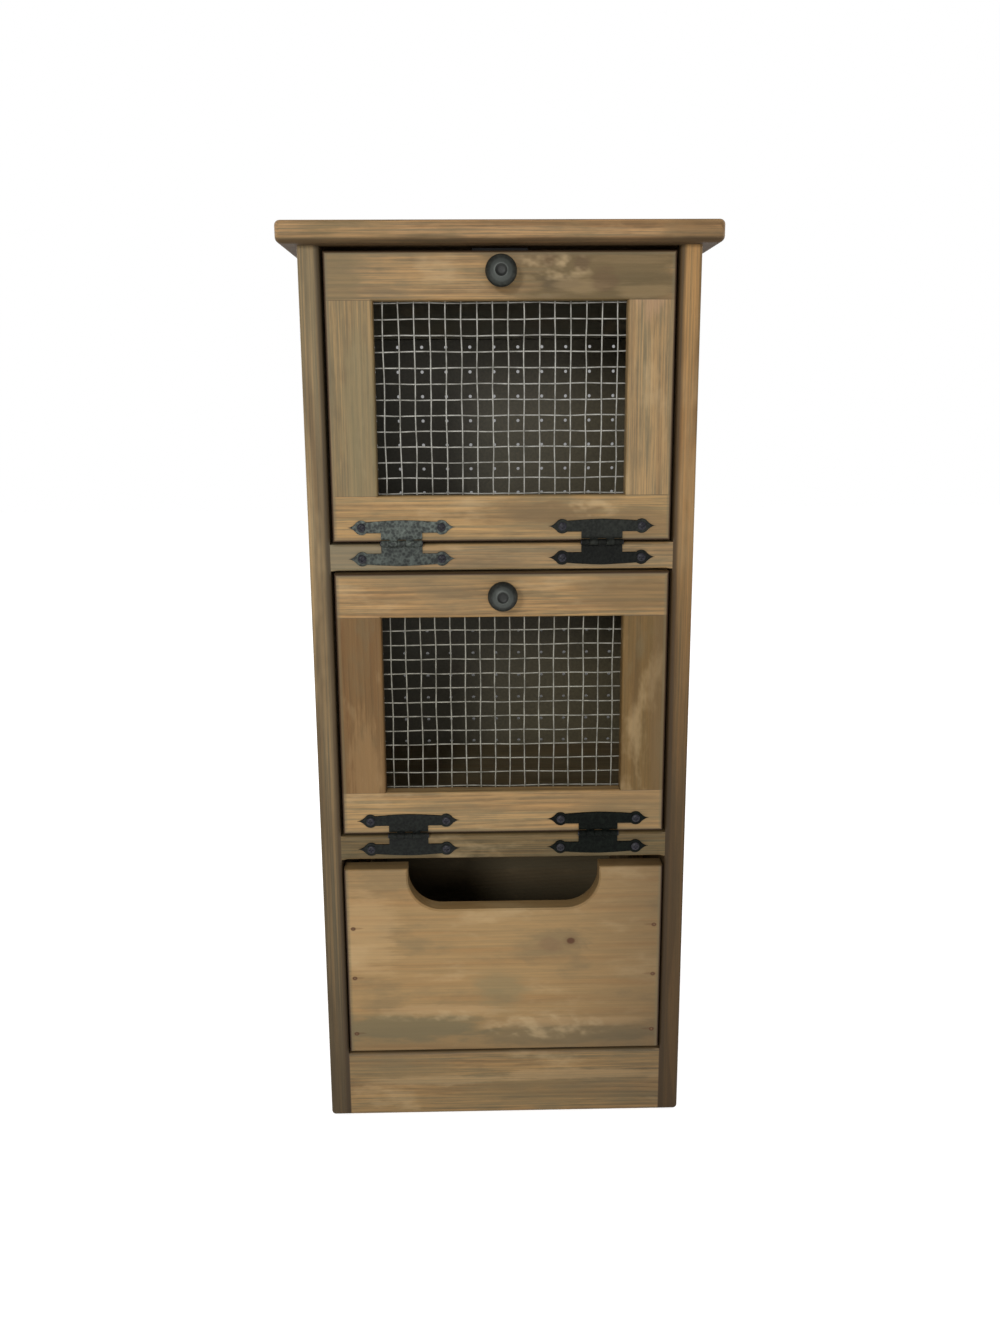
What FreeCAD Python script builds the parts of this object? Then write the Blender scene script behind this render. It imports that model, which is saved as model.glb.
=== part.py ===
"""A slim pine vegetable cabinet: two wire-mesh doors that tilt out above a pull-out bin.

Millimetres. +Z is up, the front faces -Y, and the origin lies on the floor under the middle of
the cabinet's outer box. Expressions name a cell of the sheets by its alias alone.
"""

import FreeCAD
import Part
import Sketcher
import math
import os
import re

V = FreeCAD.Vector
TINY = 1e-4

SIZES = {
    # carcass
    "body_width": 320,
    "body_depth": 317.5,
    "base_height": 62,
    "bin_bay": 188.5,
    "door_bay": 233.75,
    "head_spare": 1.5,
    "rail_height": 22,
    "rail_depth": 18,
    "side_thickness": 17.5,
    "shelf_thickness": 12,
    "housing_depth": 5,
    "back_thickness": 4.8,
    "back_lap": 9,
    "back_rail_height": 57,
    "back_rail_thickness": 18,
    "cleat_size": 18,
    "cleat_setback": 36,
    # rounding left by the router and by sandpaper
    "bearing_radius": 6,
    "bay_roundover": 3,
    "carcass_arris": 2,
    "foot_corner": 3.5,
    # perforated back
    "peg_pitch": 25.4,
    "peg_hole": 5.2,
    "peg_margin": 13.7,
    # top
    "top_thickness": 17.5,
    "top_overhang": 15,
    "top_corner": 5,
    "top_arris": 4,
    "top_under_arris": 5,
    # doors
    "door_thickness": 18,
    "door_side_gap": 2.5,
    "door_bottom_gap": 2,
    "door_top_gap": 2.5,
    "door_rail": 37.5,
    "door_stile": 38,
    "door_arris": 2,
    "tenon_thickness": 8,
    "tenon_depth": 4,
    "tenon_length": 20,
    "tenon_width": 21,
    "tenon_inset": 11,
    "mortise_spare": 0.5,
    "mesh_rebate": 8,
    "mesh_rebate_depth": 5,
    "mesh_lap": 7.5,
    "mesh_pitch": 12.7,
    "mesh_wire": 1.2,
    "staple_crown": 6,
    "staple_wire": 0.8,
    "staple_leg": 7,
    # knobs
    "knob_drop": 17,
    "knob_reach": 26,
    "knob_diameter": 26,
    "knob_base": 15,
    "knob_neck": 9.5,
    "knob_flange": 1.5,
    "knob_waist": 8,
    "knob_rim_back": 17,
    "knob_rim_front": 20,
    "knob_ring": 18,
    "knob_dome": 2.5,
    "knob_screw": 4,
    "knob_screw_grip": 12,
    "knob_screw_head": 8,
    "knob_screw_head_height": 2.4,
    # hinges
    "hinge_inset": 57,
    "knuckle_diameter": 5.2,
    "knuckle_row": 34,
    "knuckle_gap": 0.2,
    "pin_diameter": 2.4,
    "pin_clearance": 0.05,
    "pin_end": 0.8,
    "leaf_thickness": 1.6,
    "leaf_clearance": 0.3,
    "leaf_shoulder": 8.5,
    "leaf_bar_edge": 17.5,
    "leaf_reach": 19,
    "lobe_offset": 33,
    "lobe_centre": 13,
    "lobe_radius": 6,
    "finial_tip": 44.5,
    "leaf_screw": 3,
    "leaf_screw_length": 15,
    "leaf_screw_head": 7,
    "leaf_screw_head_height": 1.6,
    "screw_clearance": 0.1,
    # catches
    "catch_width": 45,
    "catch_depth": 14,
    "catch_height": 12,
    "strike_width": 38,
    "strike_height": 10,
    "strike_thickness": 1,
    "strike_drop": 1,
    "catch_gap": 0.3,
    # bin
    "bin_side_gap": 1.5,
    "bin_bottom_gap": 2,
    "bin_top_gap": 9.5,
    "bin_front_thickness": 18,
    "bin_arris": 2,
    "cutout_chamfer": 1.5,
    "cutout_width": 170,
    "cutout_depth": 39,
    "cutout_radius": 30,
    "bin_wall": 13,
    "bin_side_height": 140,
    "bin_running_gap": 0.3,
    "bin_back_gap": 8,
    "bin_floor_thickness": 6,
    "bin_floor_lift": 8,
    "bin_groove": 6,
    # nails
    "nail_diameter": 2,
    "nail_length": 38,
    "nail_drop": 56,
    "nail_rise": 18,
    "nail_middle_lift": 3.5,
    "nail_share": 0.25,
}

LAYOUT = {
    "front": "(knob_reach - body_depth) / 2",
    "back": "front + body_depth",
    "half_body": "body_width / 2",
    "half_opening": "half_body - side_thickness",
    "rail_back": "front + rail_depth",
    "panel_face": "back - back_thickness",
    "lower_rail": "base_height + bin_bay",
    "lower_floor": "lower_rail + rail_height",
    "upper_rail": "lower_floor + door_bay",
    "upper_floor": "upper_rail + rail_height",
    "carcass_top": "upper_floor + door_bay + head_spare",
    "bottom_board": "base_height - shelf_thickness",
    "half_door": "half_opening - door_side_gap",
    "half_window": "half_door - door_stile",
    "hinge_offset": "half_door - hinge_inset",
    "door_back": "front + door_thickness",
    "mesh_face": "door_back - mesh_rebate_depth",
    "mesh_back": "mesh_face + 2 * mesh_wire",
    "axis_offset": "knuckle_diameter / 2",
    "axis_lift": "door_bottom_gap / 2",
    "knuckle": "(knuckle_row - 4 * knuckle_gap) / 5",
    "leaf_notch": "axis_offset + leaf_clearance",
    "half_bin": "half_opening - bin_side_gap",
    "half_bin_inside": "half_bin - bin_wall",
    "bin_foot": "base_height + bin_bottom_gap",
    "bin_top": "lower_rail - bin_top_gap",
    "bin_wall_foot": "base_height + bin_running_gap",
    "bin_wall_top": "bin_wall_foot + bin_side_height",
    "bin_front_back": "front + bin_front_thickness",
    "bin_end": "panel_face - bin_back_gap",
    "bin_floor": "bin_wall_foot + bin_floor_lift",
}


def fill_sheet(name, cells, text_of):
    """Writes one alias and its value to a row, for each cell."""
    sheet = doc.addObject("Spreadsheet::Sheet", name)
    for row, (alias, content) in enumerate(cells.items(), start=1):
        sheet.set("A%d" % row, alias.replace("_", " "))
        sheet.set("B%d" % row, text_of(content))
        sheet.setAlias("B%d" % row, alias)
    doc.recompute()
    return sheet


def qualified(text, own=None):
    """Puts the sheet's name before each alias in an expression."""

    def full_name(match):
        word = match.group(0)
        if word in SIZES:
            return "Sizes." + word
        if word in LAYOUT and own != "Layout":
            return "Layout." + word
        return word

    return re.sub(r"[A-Za-z_]\w*", full_name, text)


def bind(thing, prop, text):
    """Ties a property to an expression."""
    thing.setExpression(prop, qualified(text))


def value(text):
    """What an expression comes to now."""
    return float(sizes.evalExpression(qualified(text)))


def minus(text):
    """The expression with its sign changed."""
    return "-(%s)" % text


def keep(shape, name):
    """Names a finished sub-part and lists it for writing."""
    shape.Label = name
    parts.append(shape)
    return shape


def place(thing, x, y, z):
    """Binds the three coordinates of an object's placement."""
    for axis, text in zip("xyz", (x, y, z)):
        bind(thing, "Placement.Base." + axis, text)


def block(x, y, z, name="Block"):
    """A box between a low and a high expression along each axis."""
    box = doc.addObject("Part::Box", name)
    for prop, (low, high) in zip(("Length", "Width", "Height"), (x, y, z)):
        bind(box, prop, "(%s) - (%s)" % (high, low))
    place(box, x[0], y[0], z[0])
    return box


KNOB_SIDES = 24
HEAD_SIDES = 8
PIN_SIDES = 10
DIRECTIONS = {
    "x": FreeCAD.Rotation(V(0, 1, 0), 90),
    "y": FreeCAD.Rotation(V(1, 0, 0), -90),
    "-y": FreeCAD.Rotation(V(1, 0, 0), 90),
    "z": FreeCAD.Rotation(),
}


def shank(direction, diameter, length, start, sides=6, name="Shank"):
    """A bar of flat sides, six for the shank of a nail or screw and the hole that it makes."""
    prism = doc.addObject("Part::Prism", name)
    prism.Polygon = sides
    prism.Placement.Rotation = DIRECTIONS[direction]
    bind(prism, "Circumradius", "(%s) / 2" % diameter)
    bind(prism, "Height", length)
    place(prism, *start)
    return prism


def group(shapes, name="Group"):
    """Separate solids that share one node."""
    compound = doc.addObject("Part::Compound", name)
    compound.Links = shapes
    return compound


def fuse(shapes, name="Fuse"):
    """Shapes that are one piece."""
    union = doc.addObject("Part::MultiFuse", name)
    union.Shapes = shapes
    union.Refine = True
    return union


def cut(base, tools, name="Cut"):
    """A piece less its holes, grooves and rebates, which lie clear of each other."""
    difference = doc.addObject("Part::Cut", name)
    difference.Base = base
    difference.Tool = tools[0] if len(tools) == 1 else group(tools, "Tools")
    return difference


def common(base, tool, name="Common"):
    """The part of a board's blank that lies inside a routed shape."""
    overlap = doc.addObject("Part::Common", name)
    overlap.Base = base
    overlap.Tool = tool
    return overlap


def add_body(name):
    return doc.addObject("PartDesign::Body", name)


def add_sketch(body, role, name, offset=None):
    """A sketch on one of the body's own planes, moved along the plane's normal."""
    sketch = body.newObject("Sketcher::SketchObject", name)
    plane = [feature for feature in body.Origin.OriginFeatures if feature.Role == role][0]
    sketch.AttachmentSupport = [(plane, "")]
    sketch.MapMode = "FlatFace"
    if offset:
        bind(sketch, "AttachmentOffset.Base.z", offset)
    return sketch


def arc_between(start, end, radius, side):
    """The short arc of a radius between two points, bulging to the left (1) or right (-1) of the
    way from start to end, and kept anticlockwise as sketches do."""
    middle = (start + end) * 0.5
    run = end - start
    left = V(-run.y, run.x, 0).normalize()
    drop = math.sqrt(radius**2 - (run.Length / 2) ** 2)
    crest = middle + left * (side * (radius - drop))
    return Part.Arc(end, crest, start) if side > 0 else Part.Arc(start, crest, end)


def draw(sketch, corners):
    """A closed outline. Each corner is (x, y) or (x, y, radius, side): the run from it to the next
    corner is straight, or an arc of that radius that bulges to the left (1) or right (-1)."""
    first = sketch.GeometryCount
    count = len(corners)
    points = [V(value(corner[0]), value(corner[1]), 0) for corner in corners]
    for index, corner in enumerate(corners):
        ends = points[index], points[(index + 1) % count]
        if len(corner) == 2:
            sketch.addGeometry(Part.LineSegment(*ends))
        else:
            sketch.addGeometry(arc_between(*ends, value(corner[2]), corner[3]))
    for index in range(count):
        following = first + (index + 1) % count
        near_end = 1 if starts_at(sketch, following, points[(index + 1) % count]) else 2
        far_end = 2 if starts_at(sketch, first + index, points[index]) else 1
        sketch.addConstraint(
            Sketcher.Constraint("Coincident", first + index, far_end, following, near_end)
        )
    for index, corner in enumerate(corners):
        end = 1 if starts_at(sketch, first + index, points[index]) else 2
        for kind, text in (("DistanceX", corner[0]), ("DistanceY", corner[1])):
            constraint = Sketcher.Constraint(kind, -1, 1, first + index, end, value(text))
            number = sketch.addConstraint(constraint)
            bind(sketch, "Constraints[%d]" % number, text)
        if len(corner) > 2:
            constraint = Sketcher.Constraint("Radius", first + index, value(corner[2]))
            number = sketch.addConstraint(constraint)
            bind(sketch, "Constraints[%d]" % number, corner[2])


def starts_at(sketch, index, point):
    """Whether a sketched run begins, and doesn't end, at the point: arcs are kept anticlockwise."""
    return sketch.getPoint(index, 1).distanceToPoint(point) < TINY


def polygon(x, y, diameter, sides, turn):
    """The corners of a regular polygon, anticlockwise, the first at that turn in degrees."""
    angles = [turn + 360 * number / sides for number in range(sides)]
    return [
        (
            "%s + (%s) / 2 * cos(%g deg)" % (x, diameter, angle),
            "%s + (%s) / 2 * sin(%g deg)" % (y, diameter, angle),
        )
        for angle in angles
    ]


def rounded_rectangle(x, z, radius, corners=(True, True, True, True)):
    """The corners of a rectangle, anticlockwise from bottom left, each square or rounded."""
    (x0, x1), (z0, z1) = x, z
    square = [(x0, z0), (x1, z0), (x1, z1), (x0, z1)]
    steps = [((0, 1), (1, 0)), ((-1, 0), (0, 1)), ((0, -1), (-1, 0)), ((1, 0), (0, -1))]
    outline = []
    for (cx, cz), (before, after), is_round in zip(square, steps, corners):
        if not is_round:
            outline.append((cx, cz))
            continue
        start, end = [
            ("%s + %d * %s" % (cx, dx, radius), "%s + %d * %s" % (cz, dz, radius))
            for dx, dz in (before, after)
        ]
        outline.append(start + (radius, -1))
        outline.append(end)
    return outline


def pad(body, sketch, length, towards_back=False):
    """Thickens a sketch. On a plane that faces the front, the back is the reversed way."""
    feature = body.newObject("PartDesign::Pad", "Pad")
    feature.Profile = sketch
    feature.Reversed = towards_back
    bind(feature, "Length", length)
    doc.recompute()
    return feature


def ease_edges(body, amount, wanted, kind="PartDesign::Fillet", prop="Radius"):
    """Rounds or chamfers the edges of the body's last feature that the test picks out."""
    base = body.Tip
    names = ["Edge%d" % number for number, edge in enumerate(base.Shape.Edges, 1) if wanted(edge)]
    easing = body.newObject(kind, "Easing")
    easing.Base = (base, names)
    bind(easing, prop, amount)
    doc.recompute()
    return easing


def lies_at(edge, axis, level):
    """Whether an edge lies in the plane at that level of the axis."""
    points = [vertex.Point for vertex in edge.Vertexes] + [edge.CenterOfMass]
    return all(abs(getattr(point, axis) - level) < TINY for point in points)


# ---------------------------------------------------------------- carcass


def make_routed_front():
    """The carcass as one block, with the bays let through and their front edges rounded by a
    bearing cutter, which leaves its own radius in each corner. The boards are taken from it.
    The upper bay runs out past the top, because its head is the top board, which isn't routed."""
    body = add_body("RoutedFront")
    sketch = add_sketch(body, "XZ_Plane", "FrontView", "-front")
    above = "carcass_top + 2 * side_thickness"
    sides = ("-half_body", "half_body")
    feet = (True, True, False, False)
    draw(sketch, rounded_rectangle(sides, ("0", above), "foot_corner", feet))
    opening = ("-half_opening", "half_opening")
    past_top = "carcass_top + side_thickness"
    for bay in (
        ("base_height", "lower_rail"),
        ("lower_floor", "upper_rail"),
        ("upper_floor", past_top),
    ):
        draw(sketch, rounded_rectangle(opening, bay, "bearing_radius"))
    pad(body, sketch, "body_depth", towards_back=True)
    front = value("front")
    inside = value("half_opening") + TINY

    def on_front(edge):
        return lies_at(edge, "y", front)

    def around_bay(edge):
        return on_front(edge) and all(
            abs(vertex.X) < inside and vertex.Z > TINY for vertex in edge.Vertexes
        )

    ease_edges(body, "bay_roundover", around_bay)
    outside = value("half_body") - TINY

    def on_outside(edge):
        return on_front(edge) and any(abs(vertex.X) > outside for vertex in edge.Vertexes)

    ease_edges(body, "carcass_arris", on_outside)
    return body


def make_sides(routed):
    """The two side boards, housed for the shelves and rebated for the back."""
    for name, sign in (("left_side", -1), ("right_side", 1)):
        x = span(sign, "half_opening", "half_body")
        board = block(x, ("front", "back"), ("0", "carcass_top"), name + "_board")
        board = common(board, routed, name + "_routed")
        housed = span(sign, "half_opening", "half_opening + housing_depth")
        tools = [
            block(housed, ("rail_back", "panel_face"), (low, low + " + shelf_thickness"))
            for low in ("bottom_board", "lower_rail", "upper_rail")
        ]
        lapped = span(sign, "half_opening", "half_opening + back_lap")
        tools.append(block(lapped, ("panel_face", "back"), ("bottom_board", "carcass_top")))
        tools += [carcass_nail(sign, *spot) for spot in CARCASS_NAILS]
        keep(cut(board, tools), name)


def span(sign, inner, outer):
    """The low and high ends of a stretch to the left (-1) or right (1) of the middle."""
    return (inner, outer) if sign > 0 else (minus(outer), minus(inner))


def make_rails(routed):
    """The two rails and the base rail between the sides, which carry the lower hinge leaves."""
    for name, low, high in (
        ("base_rail", "0", "base_height"),
        ("lower_rail", "lower_rail", "lower_floor"),
        ("upper_rail", "upper_rail", "upper_floor"),
    ):
        board = block(("-half_opening", "half_opening"), ("front", "rail_back"), (low, high))
        board = common(board, routed, name + "_routed")
        tools = [
            carcass_nail(sign, *spot)
            for sign in (-1, 1)
            for spot in CARCASS_NAILS
            if spot[2] == name
        ]
        if name != "base_rail":
            floor = "lower_floor" if name == "lower_rail" else "upper_floor"
            tools += leaf_screw_holes(floor, "axis_lift - lobe_centre")
        keep(cut(board, tools), name)


def carcass_nail(sign, y, z, _board, diameter="nail_diameter"):
    """A nail through a side board into the end of a rail, flush with the side's outer face."""
    start = "-half_body" if sign < 0 else "half_body - nail_length"
    return shank("x", diameter, "nail_length", (start, y, z))


RAIL_MIDDLE = "front + rail_depth / 2"
BACK_RAIL_MIDDLE = "panel_face - back_rail_thickness / 2"
CARCASS_NAILS = [
    (RAIL_MIDDLE, "base_height * nail_share", "base_rail"),
    (RAIL_MIDDLE, "base_height * (1 - nail_share)", "base_rail"),
    (RAIL_MIDDLE, "lower_rail + rail_height / 2", "lower_rail"),
    (RAIL_MIDDLE, "upper_rail + rail_height / 2", "upper_rail"),
    (BACK_RAIL_MIDDLE, "carcass_top - back_rail_height * nail_share", "back_rail"),
    (BACK_RAIL_MIDDLE, "carcass_top - back_rail_height * (1 - nail_share)", "back_rail"),
]


def make_shelves():
    """The bottom board and the two shelves, let into the sides behind the rails."""
    wide = ("-half_opening - housing_depth", "half_opening + housing_depth")
    for name, low in (
        ("bottom_board", "bottom_board"),
        ("lower_shelf", "lower_rail"),
        ("upper_shelf", "upper_rail"),
    ):
        board = block(wide, ("rail_back", "panel_face"), (low, low + " + shelf_thickness"))
        keep(board, name)


def make_back():
    """The perforated back and the rail that stiffens it under the top."""
    body = add_body("PerforatedBack")
    outline = add_sketch(body, "XZ_Plane", "Panel", "-panel_face")
    wide = ("-half_opening - back_lap", "half_opening + back_lap")
    draw(outline, rounded_rectangle(wide, ("bottom_board", "carcass_top"), None, (False,) * 4))
    blank = pad(body, outline, "back_thickness", towards_back=True)
    hole = add_sketch(body, "XZ_Plane", "PegHole", "-panel_face")
    columns = 1 + 2 * math.floor(value("(half_window + mesh_lap) / peg_pitch"))
    rows = 1 + math.floor(value("(carcass_top - lower_floor - peg_margin - peg_hole) / peg_pitch"))
    first = "-(%d) / 2 * peg_pitch" % (columns - 1)
    across_corners = "peg_hole * sqrt(pi / 2)"
    square = polygon(first, "carcass_top - peg_margin", across_corners, 4, 45)
    draw(hole, square)
    pocket = body.newObject("PartDesign::Pocket", "Pocket")
    pocket.Profile = hole
    pocket.Type = "ThroughAll"
    doc.recompute()
    pattern = body.newObject("PartDesign::LinearPattern", "PegHoles")
    pattern.Originals = [pocket]
    axes = {feature.Role: feature for feature in body.Origin.OriginFeatures}
    pattern.Direction = (axes["X_Axis"], [""])
    pattern.Direction2 = (axes["Z_Axis"], [""])
    pattern.Reversed2 = True
    bind(pattern, "Length", "%d * peg_pitch" % (columns - 1))
    bind(pattern, "Length2", "%d * peg_pitch" % (rows - 1))
    pattern.Occurrences = columns
    pattern.Occurrences2 = rows
    body.Tip = pattern
    doc.recompute()
    removed = blank.Shape.Volume - pattern.Shape.Volume
    one_hole = blank.Shape.Volume - pocket.Shape.Volume
    print("peg holes: %d, removed %.1f" % (columns * rows, removed / one_hole))
    keep(body, "perforated_back")
    depth = ("panel_face - back_rail_thickness", "panel_face")
    height = ("carcass_top - back_rail_height", "carcass_top")
    rail = block(("-half_opening", "half_opening"), depth, height)
    tools = [
        carcass_nail(sign, *spot)
        for sign in (-1, 1)
        for spot in CARCASS_NAILS
        if spot[2] == "back_rail"
    ]
    keep(cut(rail, tools), "back_top_rail")


def make_top():
    """The top board, overhanging the front and sides, with eased edges."""
    body = add_body("TopBoard")
    sketch = add_sketch(body, "XY_Plane", "PlanView", "carcass_top")
    wide = ("-half_body - top_overhang", "half_body + top_overhang")
    deep = ("front - top_overhang", "back")
    draw(sketch, rounded_rectangle(wide, deep, "top_corner", (True, True, False, False)))
    pad(body, sketch, "top_thickness")
    back = value("back")
    for radius, level in (
        ("top_arris", "carcass_top + top_thickness"),
        ("top_under_arris", "carcass_top"),
    ):
        height = value(level)
        ease_edges(
            body,
            radius,
            lambda edge: lies_at(edge, "z", height) and not lies_at(edge, "y", back),
        )
    keep(body, "top_board")


def make_cleats():
    """A batten along each side under the top, which the top is screwed to."""
    for name, sign in (("top_cleat_left", -1), ("top_cleat_right", 1)):
        x = span(sign, "half_opening - cleat_size", "half_opening")
        y = ("front + cleat_setback", "panel_face - back_rail_thickness")
        keep(block(x, y, ("carcass_top - cleat_size", "carcass_top")), name)


def make_carcass_nails():
    nails = [carcass_nail(sign, *spot) for sign in (-1, 1) for spot in CARCASS_NAILS]
    keep(group(nails), "carcass_nails")


# ---------------------------------------------------------------- hinges


def leaf_screw_holes(floor, lift, sides=(-1, 1)):
    """The pilot holes for the screws of both hinges, one row of leaves."""
    return [
        shank(
            "y",
            "leaf_screw + 2 * screw_clearance",
            "leaf_screw_length + screw_clearance",
            (x, "front", "%s + %s" % (floor, lift)),
        )
        for x in leaf_screw_places(sides)
    ]


def leaf_screw_places(sides=(-1, 1)):
    return [
        "%d * hinge_offset + %d * lobe_offset" % (side, end) for side in sides for end in (-1, 1)
    ]


def make_leaf_screws(name, floor, lift):
    """Round-headed screws, one through each lobe of a row of leaves."""
    screws = []
    for x in leaf_screw_places():
        start = (x, "front - leaf_thickness", "%s + %s" % (floor, lift))
        stem = shank("y", "leaf_screw", "leaf_screw_length + leaf_thickness", start)
        head = shank("-y", "leaf_screw_head", "leaf_screw_head_height", start, HEAD_SIDES)
        screws.append(fuse([stem, head]))
    keep(group(screws), name)


def leaf_outline():
    """One leaf of the hinge, from the pin outwards: a neck as wide as the knuckles, then a bar
    with a round lobe at each end, drawn out to a point, and an outer edge that rises a little."""
    neck = "knuckle_row / 2"
    bar = "(lobe_offset - sqrt(lobe_radius ^ 2 - (lobe_centre - leaf_shoulder) ^ 2))"
    waist = "(lobe_offset + lobe_radius * cos(50 deg))"
    inner = "lobe_centre - lobe_radius * sin(50 deg)"
    outer = "lobe_centre + lobe_radius * sin(50 deg)"
    right = [
        (neck, "leaf_notch"),
        (neck, "leaf_shoulder"),
        (bar, "leaf_shoulder", "lobe_radius", -1),
        (waist, inner),
        ("finial_tip", "lobe_centre"),
        (waist, outer, "lobe_radius", -1),
        (bar, "leaf_bar_edge"),
        ("0", "leaf_reach"),
    ]
    left = [
        (minus(bar), "leaf_bar_edge", "lobe_radius", -1),
        (minus(waist), outer),
        (minus("finial_tip"), "lobe_centre"),
        (minus(waist), inner, "lobe_radius", -1),
        (minus(bar), "leaf_shoulder"),
        (minus(neck), "leaf_shoulder"),
        (minus(neck), "leaf_notch"),
    ]
    return right + left


def knuckle_starts(places):
    return ["-knuckle_row / 2 + %d * (knuckle + knuckle_gap)" % place for place in places]


def make_leaf(name, side, floor, upwards):
    """A leaf lying on the wood, with its share of the five knuckles rolled round the pin."""
    x = "%d * hinge_offset" % side
    axis = "%s + axis_lift" % floor
    body = add_body("Leaf")
    sketch = add_sketch(body, "XZ_Plane", "LeafView")
    draw(sketch, leaf_outline())
    for end in (-1, 1):
        hole = "leaf_screw + 2 * screw_clearance"
        draw(sketch, polygon("%d * lobe_offset" % end, "lobe_centre", hole, 6, 0))
    pad(body, sketch, "leaf_thickness")
    if not upwards:
        body.Placement.Rotation = FreeCAD.Rotation(V(0, 1, 0), 180)
    place(body, x, "front", axis)
    pieces = [body]
    heights = (axis, axis + " + leaf_notch") if upwards else (axis + " - leaf_notch", axis)
    for start in knuckle_starts((1, 3) if upwards else (0, 2, 4)):
        begin = "%s + (%s)" % (x, start)
        roll = (begin, "front - axis_offset", axis)
        pieces.append(shank("x", "knuckle_diameter", "knuckle", roll, PIN_SIDES))
        width = (begin, "%s + knuckle" % begin)
        pieces.append(block(width, ("front - leaf_thickness", "front"), heights))
    bore_start = ("%s - knuckle_row" % x, "front - axis_offset", axis)
    across_corners = "(pin_diameter + 2 * pin_clearance) / cos(180 deg / %d)" % PIN_SIDES
    bore = shank("x", across_corners, "2 * knuckle_row", bore_start, PIN_SIDES)
    keep(cut(fuse(pieces), [bore]), name)


def make_pins():
    """A plain pin through each hinge's knuckles, standing out a little at both ends."""
    pins = []
    for floor in ("lower_floor", "upper_floor"):
        for side in (-1, 1):
            start = "%d * hinge_offset - knuckle_row / 2 - pin_end" % side
            middle = ("front - axis_offset", "%s + axis_lift" % floor)
            pin = doc.addObject("Part::Cylinder", "Pin")
            pin.Placement.Rotation = DIRECTIONS["x"]
            bind(pin, "Radius", "pin_diameter / 2")
            bind(pin, "Height", "knuckle_row + 2 * pin_end")
            place(pin, start, *middle)
            pins.append(pin)
    keep(group(pins), "hinge_pins")


# ---------------------------------------------------------------- doors


def make_door(door, floor):
    """One tilt-out door: a tenoned frame with wire mesh stapled into a rebate at the back."""
    foot = "%s + door_bottom_gap" % floor
    head = "%s + door_bay - door_top_gap" % floor
    window = ("%s + door_rail" % foot, "%s - door_rail" % head)
    blank = make_door_blank(door, foot, head, window)
    rebate_x = ("-half_window - mesh_rebate", "half_window + mesh_rebate")
    rebate_z = ("%s - mesh_rebate" % window[0], "%s + mesh_rebate" % window[1])
    depth = ("front", "door_back")
    knob_z = "%s - knob_drop" % head

    for name, low, high in (("bottom_rail", foot, window[0]), ("top_rail", window[1], head)):
        rail = common(block(("-half_door", "half_door"), depth, (low, high)), blank)
        tools = [block(rebate_x, ("mesh_face", "door_back"), rebate_z)]
        tools += [tenon(sign, name, window, spare=True) for sign in (-1, 1)]
        tools += staple_slots(name, window)
        if name == "bottom_rail":
            tools += leaf_screw_holes(floor, "axis_lift + lobe_centre")
        else:
            tools.append(knob_bore("y", "door_thickness", knob_z))
        keep(cut(rail, tools), "%s_%s" % (door, name))

    for name, sign in (("left_stile", -1), ("right_stile", 1)):
        stile = common(block(span(sign, "half_window", "half_door"), depth, window), blank)
        stile = fuse([stile, tenon(sign, "bottom_rail", window), tenon(sign, "top_rail", window)])
        tools = [block(rebate_x, ("mesh_face", "door_back"), rebate_z)]
        tools += staple_slots(name, window)
        keep(cut(stile, tools), "%s_%s" % (door, name))

    make_mesh(door, window)
    make_staples(door, window)
    make_knob(door, knob_z)
    make_strike(door, head)
    for name, side in (("left", -1), ("right", 1)):
        make_leaf("%s_leaf_%s" % (door, name), side, floor, upwards=True)
        make_leaf("%s_cabinet_leaf_%s" % (door.split("_")[0], name), side, floor, upwards=False)
    make_leaf_screws("%s_leaf_screws" % door, floor, "axis_lift + lobe_centre")


def make_door_blank(door, foot, head, window):
    """The whole door frame, with its outer edge and window rounded at the front."""
    body = add_body(door + "_blank")
    sketch = add_sketch(body, "XZ_Plane", "DoorView", "-front")
    draw(sketch, rounded_rectangle(("-half_door", "half_door"), (foot, head), None, (False,) * 4))
    inside = ("-half_window", "half_window")
    draw(sketch, rounded_rectangle(inside, window, None, (False,) * 4))
    pad(body, sketch, "door_thickness", towards_back=True)
    front = value("front")
    ease_edges(body, "door_arris", lambda edge: lies_at(edge, "y", front))
    return body


def tenon(sign, rail, window, spare=False):
    """A stub tenon on the end of a stile, or the mortise for it with room at its end."""
    x = span(sign, "half_window + tenon_inset", "half_window + tenon_inset + tenon_width")
    y = ("front + tenon_depth", "front + tenon_depth + tenon_thickness")
    reach = "tenon_length + mortise_spare" if spare else "tenon_length"
    if rail == "bottom_rail":
        return block(x, y, ("%s - (%s)" % (window[0], reach), window[0]))
    return block(x, y, (window[1], "%s + %s" % (window[1], reach)))


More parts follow.
